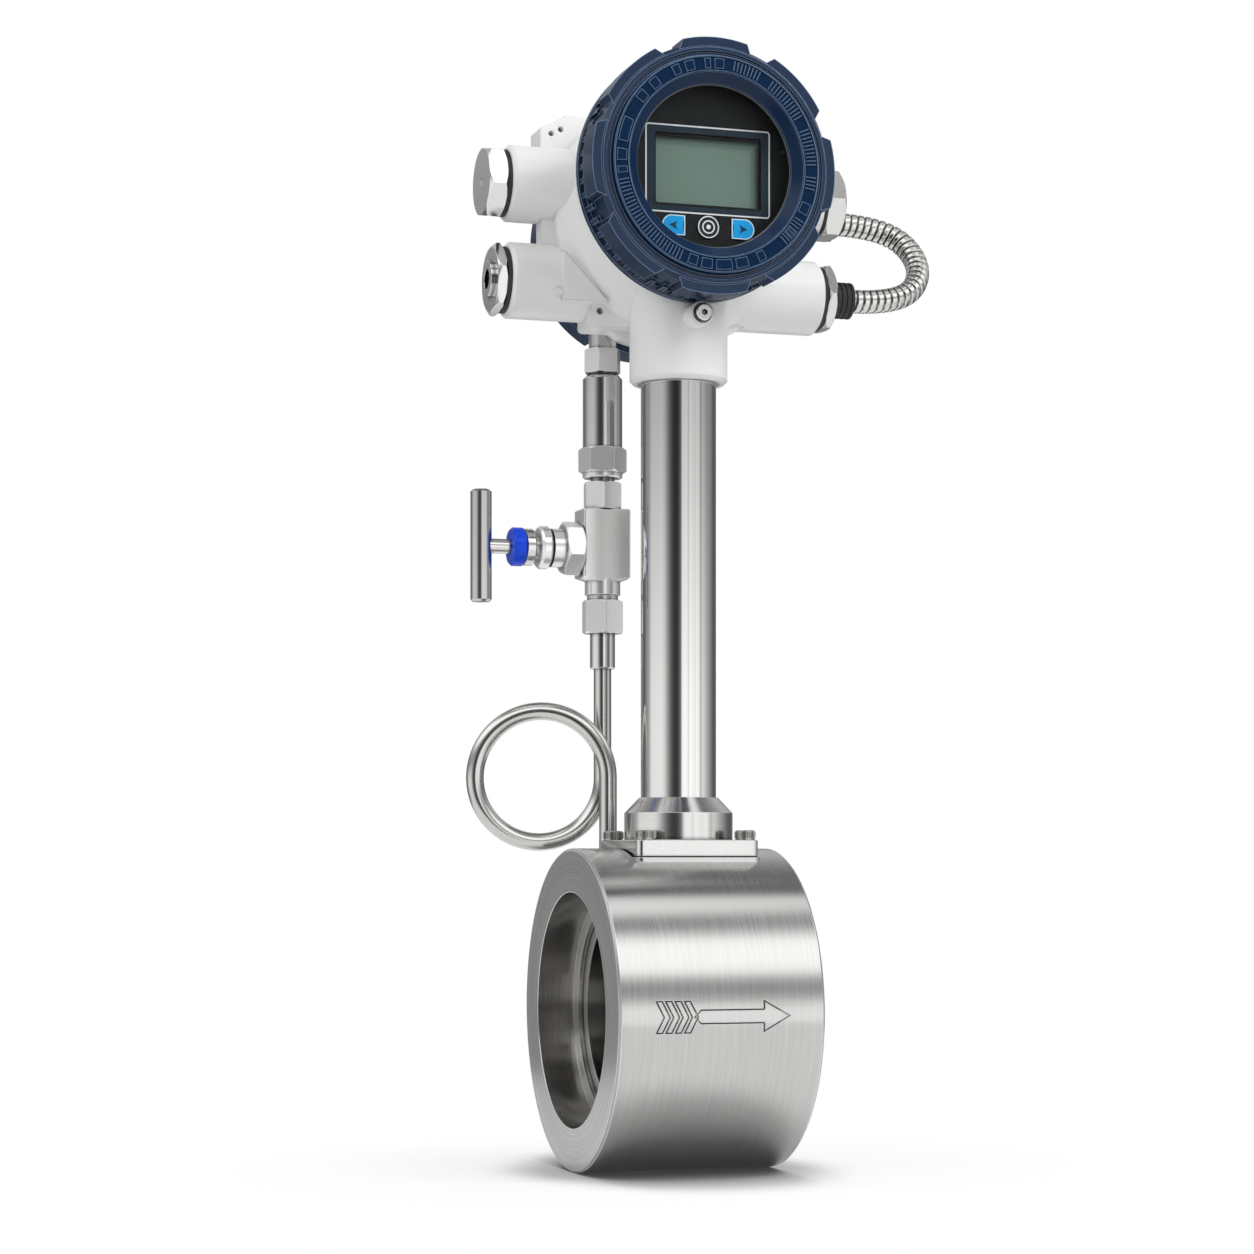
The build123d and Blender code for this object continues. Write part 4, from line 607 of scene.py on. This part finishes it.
def finish_body(material):
    """Painted shade on the turned end faces and in the bores, a painted highlight on the rims, and dark
    engraved lines.
    """
    tree = material.node_tree
    along, away = axis_distance(tree, "X", BODY_AXIS)
    # Painted shade: a darker tone over the end faces' turned lines
    end_face = math_node(tree, "GREATER_THAN", facing_along(tree, "X"), END_FACE_TILT)
    turned = lathe_coordinates(tree, "X", BODY_AXIS)
    turned = noise(tree, turned, END_FACE_LINES, LINE_DETAIL, LINE_ROUGHNESS)
    tint(tree, end_face, ramp_node(tree, turned, noise_stops(END_FACE_DARK, END_FACE_LIGHT)))
    vary(tree, shader_of(tree).inputs["Metallic"], end_face, [(0.4, 1.0), (0.6, END_FACE_METAL)])
    # Painted shade in the bore, darker still deep inside
    inside = math_node(tree, "LESS_THAN", away, BORE_REACH)
    inside = math_node(tree, "MULTIPLY", inside, math_node(tree, "SUBTRACT", 1.0, end_face))
    tint(tree, inside, BORE_SHADE)
    from_middle = math_node(tree, "ABSOLUTE", along)
    deep = math_node(tree, "LESS_THAN", from_middle, BORE_STEP)
    tint(tree, math_node(tree, "MULTIPLY", inside, deep), DEEP_BORE_SHADE)
    # Painted highlight along the rims
    rim = math_node(tree, "GREATER_THAN", from_middle, RIM_PLACE)
    tint(tree, math_node(tree, "MULTIPLY", edge_mask(tree, RIM_HIGHLIGHT), rim), STEEL_HIGHLIGHT)
    line = between(tree, away, BODY_RADIUS - ENGRAVED_DEEP, BODY_RADIUS - ENGRAVED_SHALLOW)
    line = math_node(tree, "MULTIPLY", line, between(tree, along, -ARROW_REACH, ARROW_REACH))
    beside = math_node(tree, "LESS_THAN", facing(tree)["Z"], PAD_TILT)
    tint(tree, math_node(tree, "MULTIPLY", line, beside), ENGRAVED_COLOUR)


# Shine of the covers' faces that look sideways, and of those that look forward and back
SIDE_GLOSS = 0.05
AHEAD_GLOSS = 0.44
# The front cover inside its lobes: how much shine its slope and its flat band lose, and how far a
# face looks along the axis to count as flat
RECESS_RADIUS = 0.0472
SLOPE_LOSS = 0.5
FLAT_LOSS = 0.85
FLAT_TILT = 0.95


def dull_sides(material):
    """Less shine on the faces that look sideways than on those that look forward and back."""
    tree = material.node_tree
    gloss = shader_of(tree).inputs["Specular IOR Level"]
    vary(tree, gloss, facing_along(tree, "Y"), [(0.25, SIDE_GLOSS), (0.7, AHEAD_GLOSS)])


def darken_recess(material, colour):
    """Painted shade, darker and duller, in the band and the slope round the window, inside the lobes."""
    tree = material.node_tree
    _, away = axis_distance(tree, "Y", HEAD_AXIS)
    inside = math_node(tree, "LESS_THAN", away, RECESS_RADIUS)
    tint(tree, inside, colour)
    flat = math_node(tree, "GREATER_THAN", facing_along(tree, "Y"), FLAT_TILT)
    lost = math_node(tree, "MULTIPLY", inside, mix_levels(tree, flat, SLOPE_LOSS, FLAT_LOSS))
    kept = math_node(tree, "SUBTRACT", 1.0, lost)
    gloss = shader_of(tree).inputs["Specular IOR Level"]
    tree.links.new(math_node(tree, "MULTIPLY", gloss.links[0].from_socket, kept), gloss)


STEEL = (0.62, 0.615, 0.605)
BRIGHT_STEEL = (0.71, 0.705, 0.695)
SATIN_STEEL = (0.89, 0.885, 0.875)
# Painted highlight along the edges and rims of bright metal
STEEL_HIGHLIGHT = (0.95, 0.95, 0.95)
NICKEL = (0.76, 0.755, 0.745)
NAVY = (0.0065, 0.0235, 0.064)
# Painted shade in the front cover's recess
RECESS_SHADE_NAVY = (0.0040, 0.0195, 0.057)
# Painted highlight along the covers' edges
NAVY_EDGE_HIGHLIGHT = (0.19, 0.29, 0.46)
# Painted shade in crevices
NAVY_CREVICE_SHADE = (0.0008, 0.003, 0.009)
STEEL_CREVICE_SHADE = (0.10, 0.098, 0.095)
BLACK_CREVICE_SHADE = (0.01, 0.01, 0.01)

METALS = {
    "body": steel(
        "body_steel", STEEL, (0.16, 0.25), lines=1300, depth=6e-6, axis="X",
        aniso=0.7, edge=6e-4, contrast=0.16,
    ),
    "stem": steel(
        "stem_steel", BRIGHT_STEEL, (0.07, 0.09), lines=60, depth=1e-7, axis="Z", centre=STEM_AXIS,
        edge=2e-4, contrast=0.03,
    ),
    "plate": steel(
        "plate_steel", BRIGHT_STEEL, (0.11, 0.2), lines=1800, depth=4e-6, axis="Z", centre=STEM_AXIS,
        edge=3e-4, contrast=0.2,
    ),
    "column": steel(
        "fitting_steel", BRIGHT_STEEL, (0.12, 0.18), lines=2600, depth=2e-6, axis="Z", centre=COLUMN_AXIS,
        edge=2.5e-4, contrast=0.06,
    ),
    "hex": steel(
        "hex_steel", SATIN_STEEL, (0.20, 0.27), lines=3000, depth=2e-6,
        metallic=0.74, edge=4e-4, contrast=0.06,
    ),
    "bonnet": steel(
        "bonnet_steel", BRIGHT_STEEL, (0.12, 0.2), lines=2600, depth=3e-6, axis="X", centre=VALVE_AXIS,
        edge=2.5e-4,
    ),
    "tube": steel("tube_steel", (0.62, 0.61, 0.595), (0.17, 0.21), lines=200, depth=1e-8, contrast=0.05),
    "nickel": steel(
        "bright_nickel", NICKEL, (0.08, 0.14), lines=1200, depth=2e-6, axis="X", centre=PLUG_AXIS,
        edge=4e-4,
    ),
    "lock": steel("lock_steel", NICKEL, (0.14, 0.2), lines=1200, depth=1e-6, edge=2e-4),
    "screws": steel("screw_steel", (0.5, 0.49, 0.47), (0.25, 0.35), lines=3000, depth=4e-6, edge=1.5e-4),
    "conduit": steel(
        "conduit_steel", (0.70, 0.69, 0.67), (0.19, 0.26), lines=1500, depth=1e-6, contrast=0.05
    ),
}

PAINTS = {
    "housing": paint(
        "white_coat", (0.86, 0.865, 0.855), 0.34, grain=1500, depth=1.6e-5, coat=0.15, edge=1.5e-3
    ),
    "cover": paint("navy_coat", NAVY, 0.24, grain=1900, depth=4e-6, edge=5e-4, gloss=0.24),
    "rear_cover": paint("rear_navy_coat", NAVY, 0.24, grain=1900, depth=4e-6, edge=5e-4, gloss=0.24),
    "rubber": paint("black_rubber", (0.018, 0.018, 0.019), 0.55, grain=2500, depth=2e-5, edge=2e-4),
    "seal": paint("seal_line", (0.20, 0.19, 0.17), 0.3, grain=3000, depth=1e-6),
    "gasket": paint("grey_gasket", (0.16, 0.16, 0.155), 0.8, grain=3000, depth=2e-5),
    "panel": paint("black_panel", (0.009, 0.0105, 0.012), 0.5, grain=400, depth=2e-8, gloss=0.2),
    "bezel": paint("screen_bezel", (0.015, 0.027, 0.042), 0.4, grain=400, depth=2e-8, gloss=0.2),
    "lcd": paint("screen", (0.153, 0.226, 0.193), 0.3, grain=4000, depth=5e-7, gloss=0.2),
    "key_blue": paint("blue_key", (0.012, 0.37, 0.83), 0.4, grain=3000, depth=2e-6, gloss=0.2),
    "key_black": paint("black_key", (0.020, 0.021, 0.023), 0.45, grain=3000, depth=2e-6, gloss=0.2),
    "print": paint("white_print", (0.80, 0.83, 0.86), 0.5, grain=3000, depth=1e-6, gloss=0.2),
    "pale_print": paint("pale_print", (0.66, 0.84, 0.94), 0.5, grain=3000, depth=1e-6, gloss=0.2),
    "dark_print": paint("dark_print", (0.02, 0.05, 0.10), 0.5, grain=3000, depth=1e-6, gloss=0.2),
    "board": paint("green_board", (0.02, 0.12, 0.05), 0.45, grain=1400, depth=1e-5),
    "terminal": paint("terminal_block", (0.22, 0.24, 0.25), 0.5, grain=2200, depth=1e-5),
    "cap": paint("blue_cap", (0.001, 0.060, 0.70), 0.3, grain=2500, depth=8e-6, edge=3e-4, gloss=0.3),
}

materials = {**METALS, **PAINTS, "glass": glass("window_glass")}

finish_body(materials["body"])
for key in ("cover", "rear_cover"):
    dull_sides(materials[key])
# Painted shade in the front cover's recess round the window
darken_recess(materials["cover"], RECESS_SHADE_NAVY)
# Painted shade in the covers' crevices and a painted highlight along their edges
for key in ("cover", "rear_cover"):
    add_crevice_shade(materials[key], NAVY_CREVICE_SHADE, reach=0.004)
    add_edge_highlight(materials[key], NAVY_EDGE_HIGHLIGHT, radius=6e-4)
# Painted highlight along the edges of bright metal
for key in ("hex", "plate", "nickel", "bonnet"):
    add_edge_highlight(materials[key], STEEL_HIGHLIGHT, radius=4e-4)
# Painted shade where neighbouring pieces crowd in, and in the hollows of the screws, lock and hose
for key in ("hex", "bonnet", "column", "plate", "tube", "nickel"):
    add_crevice_shade(materials[key], STEEL_CREVICE_SHADE, reach=0.0022, own=False)
add_crevice_shade(materials["screws"], (0.03, 0.03, 0.03), reach=0.0025)
add_crevice_shade(materials["lock"], BLACK_CREVICE_SHADE, reach=0.0032)
add_crevice_shade(materials["conduit"], BLACK_CREVICE_SHADE, reach=0.0024, full=0.6, none=0.9)

NODE_MATERIALS = {
    "body": ["meter_body"],
    "stem": ["stem_tube"],
    "plate": ["shedder_bar", "sensor_probe", "flange_plate"],
    "column": ["tube_ferrule", "pressure_sensor", "lead_sleeve"],
    "hex": ["lower_nut", "valve_body", "pressure_adapter", "union_nut", "sensor_cap", "valve_bonnet"],
    "bonnet": ["packing_nut", "valve_stem", "valve_needle"],
    "tube": ["siphon_tube", "valve_handle"],
    "nickel": [
        "upper_left_plug", "cable_gland", "upper_right_plug", "conduit_gland", "rear_conduit_gland",
    ],
    "lock": ["lock_washer", "lock_screw"],
    "screws": ["plate_screws", "display_posts", "terminal_posts"],
    "conduit": ["conduit"],
    "housing": ["head_housing"],
    "cover": ["front_cover", "window_ring"],
    "rear_cover": ["rear_cover"],
    "rubber": [
        "probe_seal", "window_gasket", "front_o_ring", "rear_o_ring", "upper_left_seal", "cable_gland_seal",
        "upper_right_seal", "conduit_gland_seal", "lower_conduit_sleeve", "rear_conduit_sleeve",
    ],
    "gasket": ["plate_gasket"],
    "panel": ["display_panel"],
    "lcd": ["lcd_screen"],
    "key_blue": ["left_key", "right_key"],
    "key_black": ["middle_key"],
    "board": ["display_board", "main_board", "terminal_board"],
    "terminal": ["terminal_block"],
    "cap": ["dust_cap"],
    "glass": ["window_glass"],
}


def dress_nodes():
    """Give each piece of the frame its material in place of the plain one."""
    dressed = set()
    for key, names in NODE_MATERIALS.items():
        for name in names:
            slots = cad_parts[name].data.materials
            slots.clear()
            slots.append(materials[key])
            dressed.add(name)
    missing = set(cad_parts) - dressed
    assert not missing, missing


dress_nodes()

# Conduit: shiny interlocked metal hose on the same route as its solid, in metres
CONDUIT_ROUTE = [
    (0.1394, 0.0200, 0.3222), (0.1540, 0.0200, 0.3222), (0.1720, 0.0233, 0.3279),
    (0.1804, 0.0322, 0.3420), (0.1745, 0.0417, 0.3569), (0.1570, 0.0455, 0.3630),
    (0.1403, 0.0455, 0.3630),
]
CONDUIT_RADIUS = 0.0054
CONDUIT_PITCH = 0.0034
CONDUIT_GROOVE = 0.0010
CONDUIT_SIDES = 48
RINGS_PER_TURN = 12
ROUTE_ORDER = 3
ROUTE_STEPS = 48
# How steeply a band rises out of its groove, and how round its shoulder is
BAND_RISE = 2.4
BAND_ROUNDNESS = 1.5


def smooth_line(points):
    """Points along the smooth spline that a route's points control."""
    curve = bpy.data.curves.new("route", "CURVE")
    curve.dimensions = "3D"
    spline = curve.splines.new("NURBS")
    spline.points.add(len(points) - 1)
    for item, point in zip(spline.points, points):
        item.co = (*point, 1)
    spline.use_endpoint_u = True
    spline.order_u = ROUTE_ORDER
    curve.resolution_u = ROUTE_STEPS
    item = link_object(bpy.data.objects.new("route", curve))
    mesh = bpy.data.meshes.new_from_object(item)
    line = [vertex.co.copy() for vertex in mesh.vertices]
    bpy.data.objects.remove(item)
    return line


def walk(line, step):
    """Points a step apart along a line, with its directions there and the length so far."""
    lengths = [0.0]
    for before, after in zip(line, line[1:]):
        lengths.append(lengths[-1] + (after - before).length)
    total = lengths[-1]
    count = ceil(total / step)
    places = []
    index = 0
    for number in range(count + 1):
        goal = total * number / count
        while index < len(line) - 2 and lengths[index + 1] < goal:
            index += 1
        stretch = line[index + 1] - line[index]
        share = (goal - lengths[index]) / (lengths[index + 1] - lengths[index])
        places.append((line[index].lerp(line[index + 1], share), stretch.normalized(), goal))
    return places


def tube_mesh(name, places, sides, radius_at):
    """A closed tube along places. radius_at gives the radius from the length and the turn."""
    points, faces = [], []
    side = places[0][1].orthogonal().normalized()
    for point, direction, length in places:
        side = (side - direction * side.dot(direction)).normalized()
        other = direction.cross(side)
        for corner in range(sides):
            angle = 2 * pi * corner / sides
            reach = radius_at(length, angle)
            points.append(point + (side * cos(angle) + other * sin(angle)) * reach)
    for ring in range(len(places) - 1):
        for corner in range(sides):
            following = (corner + 1) % sides
            base, top = ring * sides, (ring + 1) * sides
            faces.append((base + corner, base + following, top + following, top + corner))
    faces.append(tuple(range(sides - 1, -1, -1)))
    last = (len(places) - 1) * sides
    faces.append(tuple(range(last, last + sides)))
    return mesh_object(name, points, faces)


def hose_radius(length, angle):
    """Rounded bands with a narrow groove that winds round the hose between them."""
    share = (length / CONDUIT_PITCH + angle / (2 * pi)) % 1.0
    crown = max(0.0, 1.0 - abs(share - 0.5) / 0.5)
    sunk = (1 - min(1.0, crown * BAND_RISE)) ** BAND_ROUNDNESS
    return CONDUIT_RADIUS - CONDUIT_GROOVE * sunk


def make_conduit():
    line = smooth_line(CONDUIT_ROUTE)
    places = walk(line, CONDUIT_PITCH / RINGS_PER_TURN)
    hose = tube_mesh("conduit_hose", places, CONDUIT_SIDES, hose_radius)
    place(hose, materials["conduit"], "meter")
    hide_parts("conduit")


make_conduit()


# Flat pieces: outlines in x and z about their own middle, and thin plates and bands made from them
CORNER_STEPS = 6


def rounded_outline(width, height, corner, inset=0.0):
    """Points round a rectangle with rounded corners, all set in from its edge by inset."""
    points = []
    for quarter, (along, up) in enumerate(((1, 1), (-1, 1), (-1, -1), (1, -1))):
        middle_x = along * (width / 2 - corner)
        middle_z = up * (height / 2 - corner)
        for step in range(CORNER_STEPS + 1):
            angle = pi / 2 * (quarter + step / CORNER_STEPS)
            x = middle_x + (corner - inset) * cos(angle)
            z = middle_z + (corner - inset) * sin(angle)
            points.append((x, z))
    return points


def flat_band(name, outer, inner, x, y, z, depth):
    """A band between two outlines with as many points, its face at y, thick towards the back."""
    count = len(outer)
    points = []
    for outline, set_back in ((outer, 0), (inner, 0), (outer, depth), (inner, depth)):
        points += [(x + across, y + set_back, z + up) for across, up in outline]
    faces = []
    for here in range(count):
        after = (here + 1) % count
        for first, second in ((0, 1), (2, 3), (0, 2), (1, 3)):
            near, far = first * count, second * count
            faces.append((near + here, near + after, far + after, far + here))
    return mesh_object(name, points, faces, smooth=False)


def prism_faces(count):
    """The faces of a closed prism whose points are one outline and then the other."""
    faces = [tuple(range(count)), tuple(range(2 * count - 1, count - 1, -1))]
    for here in range(count):
        after = (here + 1) % count
        faces.append((here, after, count + after, count + here))
    return faces


def flat_shape(name, outline, x, y, z, depth):
    """A thin plate with a given outline, its face at y, thick towards the back."""
    points = [(x + across, y + set_back, z + up) for set_back in (0, depth) for across, up in outline]
    return mesh_object(name, points, prism_faces(len(outline)), smooth=False)


# Display: the printed frame, the hole in the panel and the sight of the screen, each as its width,
# height and corner, and the heights of their middles
FRAME = (0.0568, 0.0378, 0.0015)
HOLE = (0.0484, 0.0315, 0.0012)
SIGHT = (0.0467, 0.0285, 0.0008)
FRAME_LINE = 0.0006
FRAME_Z = 0.3627
HOLE_Z = HEAD_Z - 0.0007
RIM_GAP = 0.0001
RIM_DEPTH = 0.0005
PRINT_PROUD = 0.00006
# Two small screws on the panel, right and left of the screen, as across and up from the head's axis
PANEL_SCREWS = [(0.0345, 0.0103), (-0.0335, 0.0010)]
PANEL_SCREW_RADIUS = 0.0009
PANEL_SCREW_STEPS = 20


def make_display():
    line = flat_band(
        "screen_frame_line",
        rounded_outline(*FRAME), rounded_outline(*FRAME, inset=FRAME_LINE),
        SCREEN_X, PANEL_FACE - PRINT_PROUD, FRAME_Z, PRINT_PROUD,
    )
    place(line, materials["print"], "meter")
    band = flat_band(
        "screen_bezel",
        rounded_outline(*FRAME, inset=FRAME_LINE), rounded_outline(*HOLE),
        SCREEN_X, PANEL_FACE - PRINT_PROUD / 2, (FRAME_Z + HOLE_Z) / 2, PRINT_PROUD / 2,
    )
    place(band, materials["bezel"], "meter")
    rim = flat_band(
        "screen_rim",
        rounded_outline(*HOLE, inset=RIM_GAP), rounded_outline(*SIGHT),
        SCREEN_X, SCREEN_FACE - RIM_DEPTH, HOLE_Z, RIM_DEPTH,
    )
    place(rim, materials["panel"], "meter")


# The shadow on the sunk screen: how far it reaches, its share by distance and its colour
SCREEN_SHADE = 0.0046
SHADE_STOPS = [(0.1, 0.85), (0.5, 0.35), (1.0, 0.0)]
SHADE_COLOUR = (0.012, 0.020, 0.019)


def shade_screen(material):
    """The shadow that the frame's upper and right edges keep on the sunk screen."""
    tree = material.node_tree
    parts = components(tree, position(tree))
    width, height, _ = SIGHT
    shares = []
    for edge, axis in ((HOLE_Z + height / 2, "Z"), (SCREEN_X + width / 2, "X")):
        distance = math_node(tree, "SUBTRACT", edge, parts[axis])
        distance = math_node(tree, "DIVIDE", distance, SCREEN_SHADE)
        shares.append(ramp_node(tree, distance, SHADE_STOPS, "EASE"))
    tint(tree, math_node(tree, "MAXIMUM", *shares), SHADE_COLOUR)


def make_panel_screws():
    outer = circle(PANEL_SCREW_RADIUS, PANEL_SCREW_STEPS)
    inner = circle(PANEL_SCREW_RADIUS / 2, PANEL_SCREW_STEPS)
    for number, (across, up) in enumerate(PANEL_SCREWS):
        ring = flat_band(
            "panel_screw_%d" % number, outer, inner,
            STEM_X + across, PANEL_FACE - PRINT_PROUD, HEAD_Z + up, PRINT_PROUD,
        )
        place(ring, materials["screws"], "meter")


# The pale seal line round the window, just in front of the glass
WINDOW_OPENING = 0.035
SEAL_LINE = 0.00035
SEAL_LENGTH = 0.0005
SEAL_GAP = 0.0001
SEAL_STEPS = 96


def make_seal_line():
    glass_face = front_of("window_glass")[1]
    seal = flat_band(
        "window_seal_line",
        circle(WINDOW_OPENING, SEAL_STEPS), circle(WINDOW_OPENING - SEAL_LINE, SEAL_STEPS),
        STEM_X, glass_face - SEAL_GAP - SEAL_LENGTH, HEAD_Z, SEAL_LENGTH,
    )
    place(seal, materials["seal"], "front_cover")


# Keys: a line inside each blue key's outline, as a share of its size, and an arrow head that points
# right, and on the black key two rings, by name, radius and width, and a dot
KEY_LINE = 0.1
KEY_FACE_TOLERANCE = 1e-5
MARK_DEPTH = 0.00012
ARROW_HEAD = [(-0.0016, 0.0018), (0.0020, 0.0), (-0.0016, -0.0018), (-0.0008, 0.0)]
KEY_RINGS = [("middle_key_rim", 0.0048, 0.0005), ("middle_key_ring", 0.0029, 0.0006)]
DOT_RADIUS = 0.0010
DOT_STEPS = 24


def key_outline_band(name, x, y, z):
    """A thin pale line just inside a key's own outline, as its front face has it."""
    corners = [v.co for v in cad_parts[name].data.vertices if abs(v.co.y - y) < KEY_FACE_TOLERANCE]
    work = bmesh.new()
    for corner in corners:
        work.verts.new((corner.x - x, 0, corner.z - z))
    hull = bmesh.ops.convex_hull(work, input=work.verts)["geom"]
    kept = [v.co.copy() for v in hull if isinstance(v, bmesh.types.BMVert)]
    work.free()
    kept.sort(key=lambda corner: atan2(corner.z, corner.x))
    outer = [(corner.x, corner.z) for corner in kept]
    inner = [(across * (1 - KEY_LINE), up * (1 - KEY_LINE)) for across, up in outer]
    return flat_band(name + "_line", outer, inner, x, y - PRINT_PROUD, z, PRINT_PROUD)


def make_key_marks():
    for name, way in (("left_key", -1), ("right_key", 1)):
        x, y, z = front_of(name)
        line = key_outline_band(name, x, y, z)
        place(line, materials["pale_print"], name)
        outline = [(way * across, up) for across, up in ARROW_HEAD]
        mark = flat_shape(name + "_arrow", outline, x, y - MARK_DEPTH, z, MARK_DEPTH)
        place(mark, materials["dark_print"], name)
    x, y, z = front_of("middle_key")
    for name, radius, width in KEY_RINGS:
        ring = flat_band(name, circle(radius), circle(radius - width), x, y - MARK_DEPTH, z, MARK_DEPTH)
        place(ring, materials["print"], "middle_key")
    dot = flat_shape("middle_key_dot", circle(DOT_RADIUS, DOT_STEPS), x, y - MARK_DEPTH, z, MARK_DEPTH)
    place(dot, materials["print"], "middle_key")


make_display()
shade_screen(materials["lcd"])
make_panel_screws()
make_seal_line()
make_key_marks()

# Front cover: plain raised ribs and pads in the band round the window, in metres and degrees
BAND_INNER = 0.0396
BAND_OUTER = 0.0462
RIM_WIDTH = 0.0006
RELIEF_HEIGHT = 0.00055
RELIEF_SUNK = 0.0002
RELIEF_INNER = 0.0406
RELIEF_OUTER = 0.0452
RELIEF_SLOPE = 0.00016
RIB_TURN = 0.95
RIB_PITCH = 2.2
SECTOR_STEP = 3.0
SECTION_POINTS = 4
RIB_ZONES = [(192, 250), (64, 82), (31, 58), (3, 26), (-11, -2), (-46, -28)]
PAD_ZONES = [
    (252, 258), (260, 267), (269, 279), (281, 289), (295, 300), (318, 323), (334, 341), (86, 92), (94, 98),
    (104, 110), (113, 118), (128, 134), (139, 145), (157, 171), (175, 182), (185, 189),
]


def relief_sectors():
    """The two bearings and the two radii of every rib, pad and quarter of a rim."""
    sectors = []
    for zone_start, zone_end in RIB_ZONES:
        for number in range(int((zone_end - zone_start) / RIB_PITCH)):
            start = zone_start + number * RIB_PITCH
            sectors.append((start, start + RIB_TURN, RELIEF_INNER, RELIEF_OUTER))
    for start, end in PAD_ZONES:
        sectors.append((start, end, RELIEF_INNER, RELIEF_OUTER))
    for start in (0, 90, 180, 270):
        for inner in (BAND_INNER, BAND_OUTER - RIM_WIDTH):
            sectors.append((start, start + 90, inner, inner + RIM_WIDTH))
    return sectors


def raised_sector(points, faces, start, end, inner, outer):
    """Add a raised block with sloped sides between two bearings and two radii."""
    steps = max(1, ceil((end - start) / SECTOR_STEP))
    slope_turn = RELIEF_SLOPE / ((inner + outer) / 2) * 180 / pi
    first = len(points)
    for step in range(steps + 1):
        share = step / steps
        for rise, radius, turn in (
            (-RELIEF_SUNK, inner, 0), (RELIEF_HEIGHT, inner + RELIEF_SLOPE, slope_turn),
            (RELIEF_HEIGHT, outer - RELIEF_SLOPE, slope_turn), (-RELIEF_SUNK, outer, 0),
        ):
            bearing = radians(start + turn + (end - start - 2 * turn) * share)
            x = STEM_X + radius * cos(bearing)
            z = HEAD_Z + radius * sin(bearing)
            points.append((x, COVER_FACE - rise, z))
    last = first + SECTION_POINTS * steps
    for here in range(first, last, SECTION_POINTS):
        after = here + SECTION_POINTS
        for corner in range(SECTION_POINTS):
            following = (corner + 1) % SECTION_POINTS
            faces.append((here + corner, here + following, after + following, after + corner))
    faces.append(tuple(range(first, first + SECTION_POINTS)))
    faces.append(tuple(range(last, last + SECTION_POINTS)))


def make_cover_relief():
    points, faces = [], []
    for sector in relief_sectors():
        raised_sector(points, faces, *sector)
    relief = mesh_object("cover_relief", points, faces, smooth=False)
    place(relief, materials["cover"], "front_cover")


make_cover_relief()

# Knurled sides of the four socket head screws
SCREW_HEAD_RADIUS = 0.00425
KNURL_COUNT = 28
KNURL_DEPTH = 0.0004
KNURL_TOP = 0.0006
KNURL_LENGTH = 0.0029


def make_knurl(name, x, y, top):
    """A knurled sleeve round one screw's head, whose ridges and grooves take turns."""
    points = []
    for z in (top - KNURL_LENGTH, top):
        for step in range(2 * KNURL_COUNT):
            turn = pi * step / KNURL_COUNT
            reach = SCREW_HEAD_RADIUS + (KNURL_DEPTH if step % 2 else -KNURL_DEPTH / 2)
            points.append((x + reach * cos(turn), y + reach * sin(turn), z))
    knurl = mesh_object(name, points, prism_faces(2 * KNURL_COUNT), smooth=False)
    place(knurl, materials["screws"], "meter")


def make_knurls():
    low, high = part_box("plate_screws")
    for number, x in enumerate((low.x + SCREW_HEAD_RADIUS, high.x - SCREW_HEAD_RADIUS)):
        for row, y in enumerate((low.y + SCREW_HEAD_RADIUS, high.y - SCREW_HEAD_RADIUS)):
            make_knurl("screw_knurl_%d%d" % (number, row), x, y, high.z - KNURL_TOP)


make_knurls()

# The lock screw's dark ring, proud of its bright washer: painted shade where the gap there lies in shadow
LOCK_RING = 0.0006
LOCK_RING_DEPTH = 0.0002


def make_lock_ring():
    x, y, z = front_of("lock_washer")
    low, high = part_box("lock_washer")
    radius = (high.x - low.x) / 2
    ring = flat_band(
        "lock_shade_ring", circle(radius), circle(radius - LOCK_RING),
        x, y - LOCK_RING_DEPTH, z, LOCK_RING_DEPTH,
    )
    place(ring, materials["rubber"], "meter")


make_lock_ring()
